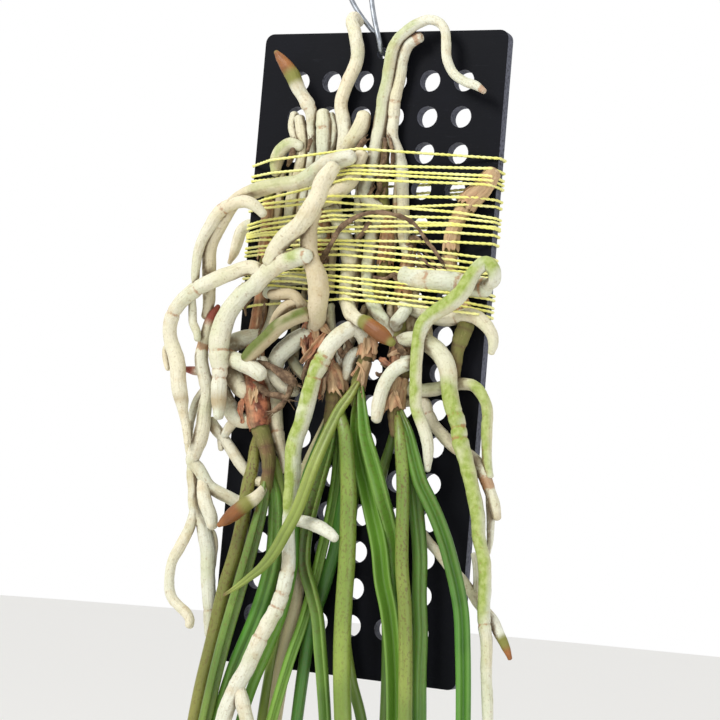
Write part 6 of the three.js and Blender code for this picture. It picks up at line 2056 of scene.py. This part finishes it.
# On each stem: start, end, flare, how pale, gap, facing and whether the torn end is up
SHEATHS = [Sheath(stem, *numbers) for (stem,), (rows,) in read_routes("""
stem_left: 5.4 9.2 0.22 0 0.1 10 1,0.4 2.6 0.25 0.6 0.35 -60 0,3.2 5.6 0.3 0.4 0.3 40 0;
stem_middle: 3.6 5.6 0.35 0.15 0.2 0 0,3.9 6.4 0.5 0.05 0.45 40 1,6.2 7.9 0.35 0.7 0.5 50 0,
0.4 2.4 0.25 0.5 0.3 -30 0;
stem_centre: 2.7 4.5 0.2 0.45 0.25 0 0,6.4 8.2 0.35 0.85 0.4 30 0,8 10.2 0.3 0.95 0.6 60 0;
stem_right: 3.4 5.2 0.35 0.35 0.3 0 0,5.2 7.6 0.3 0.85 0.45 -40 0,0.3 2.2 0.25 0.6 0.35 20 0;
stem_far_right: 0 2.6 0.3 0.9 0.35 0 0,2.3 5.4 0.3 1 0.4 60 0,5.2 8.6 0.2 0.8 0.4 0 0;
""") for numbers in rows]

# Shrunken old roots against the plate: warm, green and shade, then x, z, stand and girth
HUSKS = read_routes("""
0.9 0.1 0.5: -38 66 2.2 2.8,-38.4 52 2.2 3.4,-38.6 40 2.2 3.2,-38.4 26 2.2 2.8;
0.7 0.1 0.2: -33.4 66 2.2 3.2,-34 50 2.2 3.4,-34 38 2.2 3,-33.4 24 2.2 2.6;
0.9 0 0.8: -29.4 68 2 2.6,-29 56 2 3,-28.8 42 2 3.2,-29 30 2 2.6;
0.9 0 0.6: -24.6 50 2 2.6,-24.2 38 2 3,-24 24 2 2.6,-24.6 16 2 2.2;
0.9 0 0.7: -13.2 62 2 2.6,-13.6 48 2 3,-13.4 36 2 3.2,-13.2 22 2 2.6;
0.4 0.1 0.1: -4.6 66 2.4 3.2,-4.6 56 2.4 4,-3.6 46 2.2 3.4,-3.4 36 2 2.8;
0.9 0 0.8: -3 34 2 2.4,-3.2 26 2 3,-2.8 16 2 2.6;
0.9 0 0.6: 10.6 66 2.2 2.6,11 56 2.2 3.4,11.4 46 2 3,11.2 34 2 2.6;
0.9 0.1 0.8: 22.4 34 2 2.6,21.6 24 2 3,21 12 2.2 3.2,21.4 4 2.2 2.6;
0.8 0.4 0.6: -31 22 2.4 3,-28 13 2.6 3.8,-26 4 2.6 3.6,-25.6 -5 2.4 3;
0.7 0.3 0.5: 2 16 2.6 3,-1.6 8 2.8 3.8,-4 0,-5 -7 2.4 3;
0.7 0.4 0.7: 24.6 18 2.4 2.8,27 10 2.6 3.6,28.6 2 2.4 3;
0.4 0.4 0.2: -12.4 16 2.6 3,-11.4 8 3 3.6,-9 2 3 3;
0.2 0.1 0.1: -7.4 -2 3 4.2,-5.4 -6 3 5.2,-3.4 -11 3 5;
0.8 0.1 0.4: 12 18 3 3,13 10 3.4 4,14 3 3 3.6;
0.8 0.2 0.7: 18 16 3 3,19.4 9 3.2 3.8,21 3 3 3.2;
0.1 0.3 0.1: -28 -3 3 3.4,-24.6 -8 3.4 4.4,-20.6 -11 3 3.4;
0.8 0.2 0.6: -44 4 3 3,-38 6 3.2 3.4,-32 9 3 3;
""")

# Loose dead scraps: x, z, stand and girth
SCRAPS = read_routes("""
: 3.6 60 7 1.6,3 66 7.4 2.2,4.4 72 7 2,4 79 6.4 1.4; : 7.4 66.4 6 1.4,7.8 73 6.2 1.8,
6 79.6 6 1.2; : -11.4 67.6 6 1,-9.4 71.6 6.6 2,-6.6 75.6 6.8 2.6,-4.4 79 6 2; : -35.8 69 5 1.4,
-34.4 73 6 2.6,-34 76.6 5.4 2; : -27.8 74.6 6 1.2,-27 78.8 6 1.8; : -0.8 57.6 5.4 1.8,
0.6 60.8 6 1.4; : 2.4 57.2 5.6 2,3.6 61.6 6 1.4; : 5 57.4 5.6 1.8,5.6 61 5.6 1.2;
: -17.8 38.8 5.6 1.6,-15.8 35 5.8 2.2,-16.6 31.2 5.4 1.4; : 0.4 47.8 6.6 2.2,-1.4 44.6 7 2.4,
-4.4 41.2 6.6 1.4; : 16.6 40.2 6 1.6,19 42.6 6.4 2.4,21.6 41.6 6 1.2; : 17.6 34.4 5.4 1.6,
18.2 39.2 5.8 2; : 21.4 36.8 6 1.2,25 33.4 6 1.6,29.8 30.4 5.4 0.9; : 23.6 37.6 5 1,
27.6 33.8 5.2 1.4,32.2 30.8 5 0.8; : 20.4 34.8 5 1,24.6 31.6 5 1.3,28.8 30 4.8 0.8;
: 4.4 27.4 6 1.2,8.6 27 6.4 2,12.6 28.8 6.2 1.8,16.2 28.8 5.6 1; : 12 28.4 6 1.6,14.6 26 6 1.8,
16.8 24.2 5.6 1; : -48.2 11 4 0.9,-48.8 14.4 4.4 1.1,-46.6 16.6 4.4 0.8; : -40.4 16.6 7 1,
-40.8 10 7.6 1.2,-41.8 4.6 7.6 0.9; : 13.4 -1.6 7 2.2,15 2 7.6 2.8,18 4.6 7.4 1.8;
: 10.4 -4.6 7 1.2,13.2 -5.4 7.6 2.2,15.6 -3 7.4 2.4; : -11.6 -8.7 12.6 1.2,-12.6 -11.6 13.4 1.5,
-12.4 -14.8 13 1.3,-12.9 -17.4 12.2 0.9; : -4.6 3.4 6 1.6,-3.4 0.4 6.6 3,-5.4 -2.4 6.4 2.2;
: -7.4 0.6 5 1.6,-6.2 -2 5.6 2.6,-3.6 -3.4 5.4 1.8; : -21.8 9 8 2,-21.4 6 8.4 2.8,-21.8 2.6 8 2;
: -19.6 -3 5 2,-20.6 -8 5.6 2.6,-21.6 -12 5 1.4; : 10 -3 8 1.6,11.6 -4.2 9 2.6,14 -4.4 9 1.6;
: 14.6 5 8 2,17 1.6 9 3,20 -1 9 2; : 8.6 -8 5 1,9.6 -8.8 5.6 1.6,11 -8.4 5 1;
""")

# Torn papery ribbons: how pale, then x, z, stand and width
SHREDS = read_routes("""
0.3: -23.2 8 9 1,-23 3.3 10 2.2,-22.2 -0.5 10.4 2,-21 -3.8 9.8 1;
0: -21.6 8.8 8.6 1.4,-21.4 4 9.6 2.6,-21.8 -0.4 9.4 1.4;
0.4: -14.2 5.4 10.4 1.6,-17.4 1 11.4 2.8,-20 -2.4 11.4 2.4,-22.4 -5.6 10.6 1.6;
0.05: -14.4 4.4 9.6 1.6,-16.2 0 10.6 3.2,-18.6 -4.6 10.4 2.6,-19.8 -7.6 9.6 1;
0.8: -19.4 9.8 9 2,-18.4 6.4 10 3.4,-17.6 3 10 1.6;
0.9: -16.2 9.4 9 1.6,-14 7.4 10 3.2,-11.6 5.6 9.4 1.4;
0.1: -19.8 4 9.6 1,-19.2 0 10.2 1.6,-19.8 -3 10 0.9;
0.15: -10.4 -4.6 9.6 1.4,-12.2 -9.6 10.8 2.6,-13.8 -14.4 10.8 2.4,-13.8 -18.6 10 1.4;
0.5: -9.6 -4.8 9.6 1,-11.4 -10.6 11 1.6,-13 -14.4 11 1;
1: -10.2 -11.4 11 0.5,-7 -15.2 11.4 0.9,-3.8 -18.9 10.6 0.5;
0.3: -9.4 -11.6 10.6 1,-8.4 -13.4 11 1.6,-7.6 -14.4 10.6 1;
0.9: 0.6 -4.8 9 1,2.2 -6.4 10 1.4,3.4 -11 10.2,3.2 -15.4 9.8 0.7;
0.7: 1 -5.4 9 0.6,0 -7.2 9.6 1,-1.4 -9.4 9.4 0.6;
0.95: 3.2 6 8 1.4,3.8 2.4 9 3,3.6 -0.8 9 1.6;
0.6: 5 6 8 1.4,6.4 3 9 3,7.2 -0.4 9 1.8;
0.5: 3.6 -15 9 1,4.4 -18 9.4 1.4,5.4 -21.6 9 0.8;
0.1: 9.6 -2.6 9 1.2,12 -4 10 2.8,14 -5 9.6 1.4;
0.7: 13 -1.4 9 1.2,16 0.4 10 2.4,19 0.6 9.4 1.2;
0.85: 15.4 -12.4 10 0.8,17.4 -15.6 11 1.5,19.8 -20.4 10.4 0.7;
0.9: 14.2 -17.4 10 1.2,13 -20.2 11 2.2,12.2 -23.4 10 0.8;
0.8: 16.8 -13 10 0.8,15.4 -16 10.6 1.6,15 -19 10.2 0.8;
0.95: -43.6 -14 9 1.2,-42.8 -18 12 2.4,-42.6 -22.4 12.6 1;
0.9: -40.6 -14.6 10 1,-40.8 -18 12.4 1.8,-40.2 -21.6 12.6 0.8;
0.2: -46 -20.6 10 1,-47 -24 11 2.6,-45.6 -29.6 11 1.2;
""")


def main() -> None:
    """Builds every piece and the studio."""
    logging.basicConfig(level=logging.INFO, format="%(name)s %(message)s")
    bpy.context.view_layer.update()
    Studio().build()
    sweeper = StrandSweeper()
    Plate().build()
    Hanger(sweeper).build()
    stems = Stems(sweeper)
    for number, (name, route) in enumerate(STEMS.items()):
        stems.build(name, route, STEM_SEED + number)
    stems.wrap("papery_sheaths", SHEATHS, SHEATH_SEED)
    roots = Roots(sweeper)
    for number, (name, branches) in enumerate(ROOTS.items()):
        roots.build(name, branches, ROOT_SEED + number)
    roots.husks(HUSK_SEED)
    leaves = Leaves()
    for number, (name, (looks, route)) in enumerate(LEAVES.items()):
        leaves.build(name, route, looks, LEAF_SEED + number)
    dry = DryRemains(sweeper)
    for number, (name, branches) in enumerate(DRY.items()):
        dry.build(name, branches, DRY_SEED + number)
    dry.scraps(SCRAP_SEED)
    dry.shreds(SHRED_SEED)
    made = {**stems.made, **roots.made}
    find_nooks(list(made.values()))
    Twine(sweeper).build([made[name] for name in BOUND])


if __name__ == "__main__":
    main()
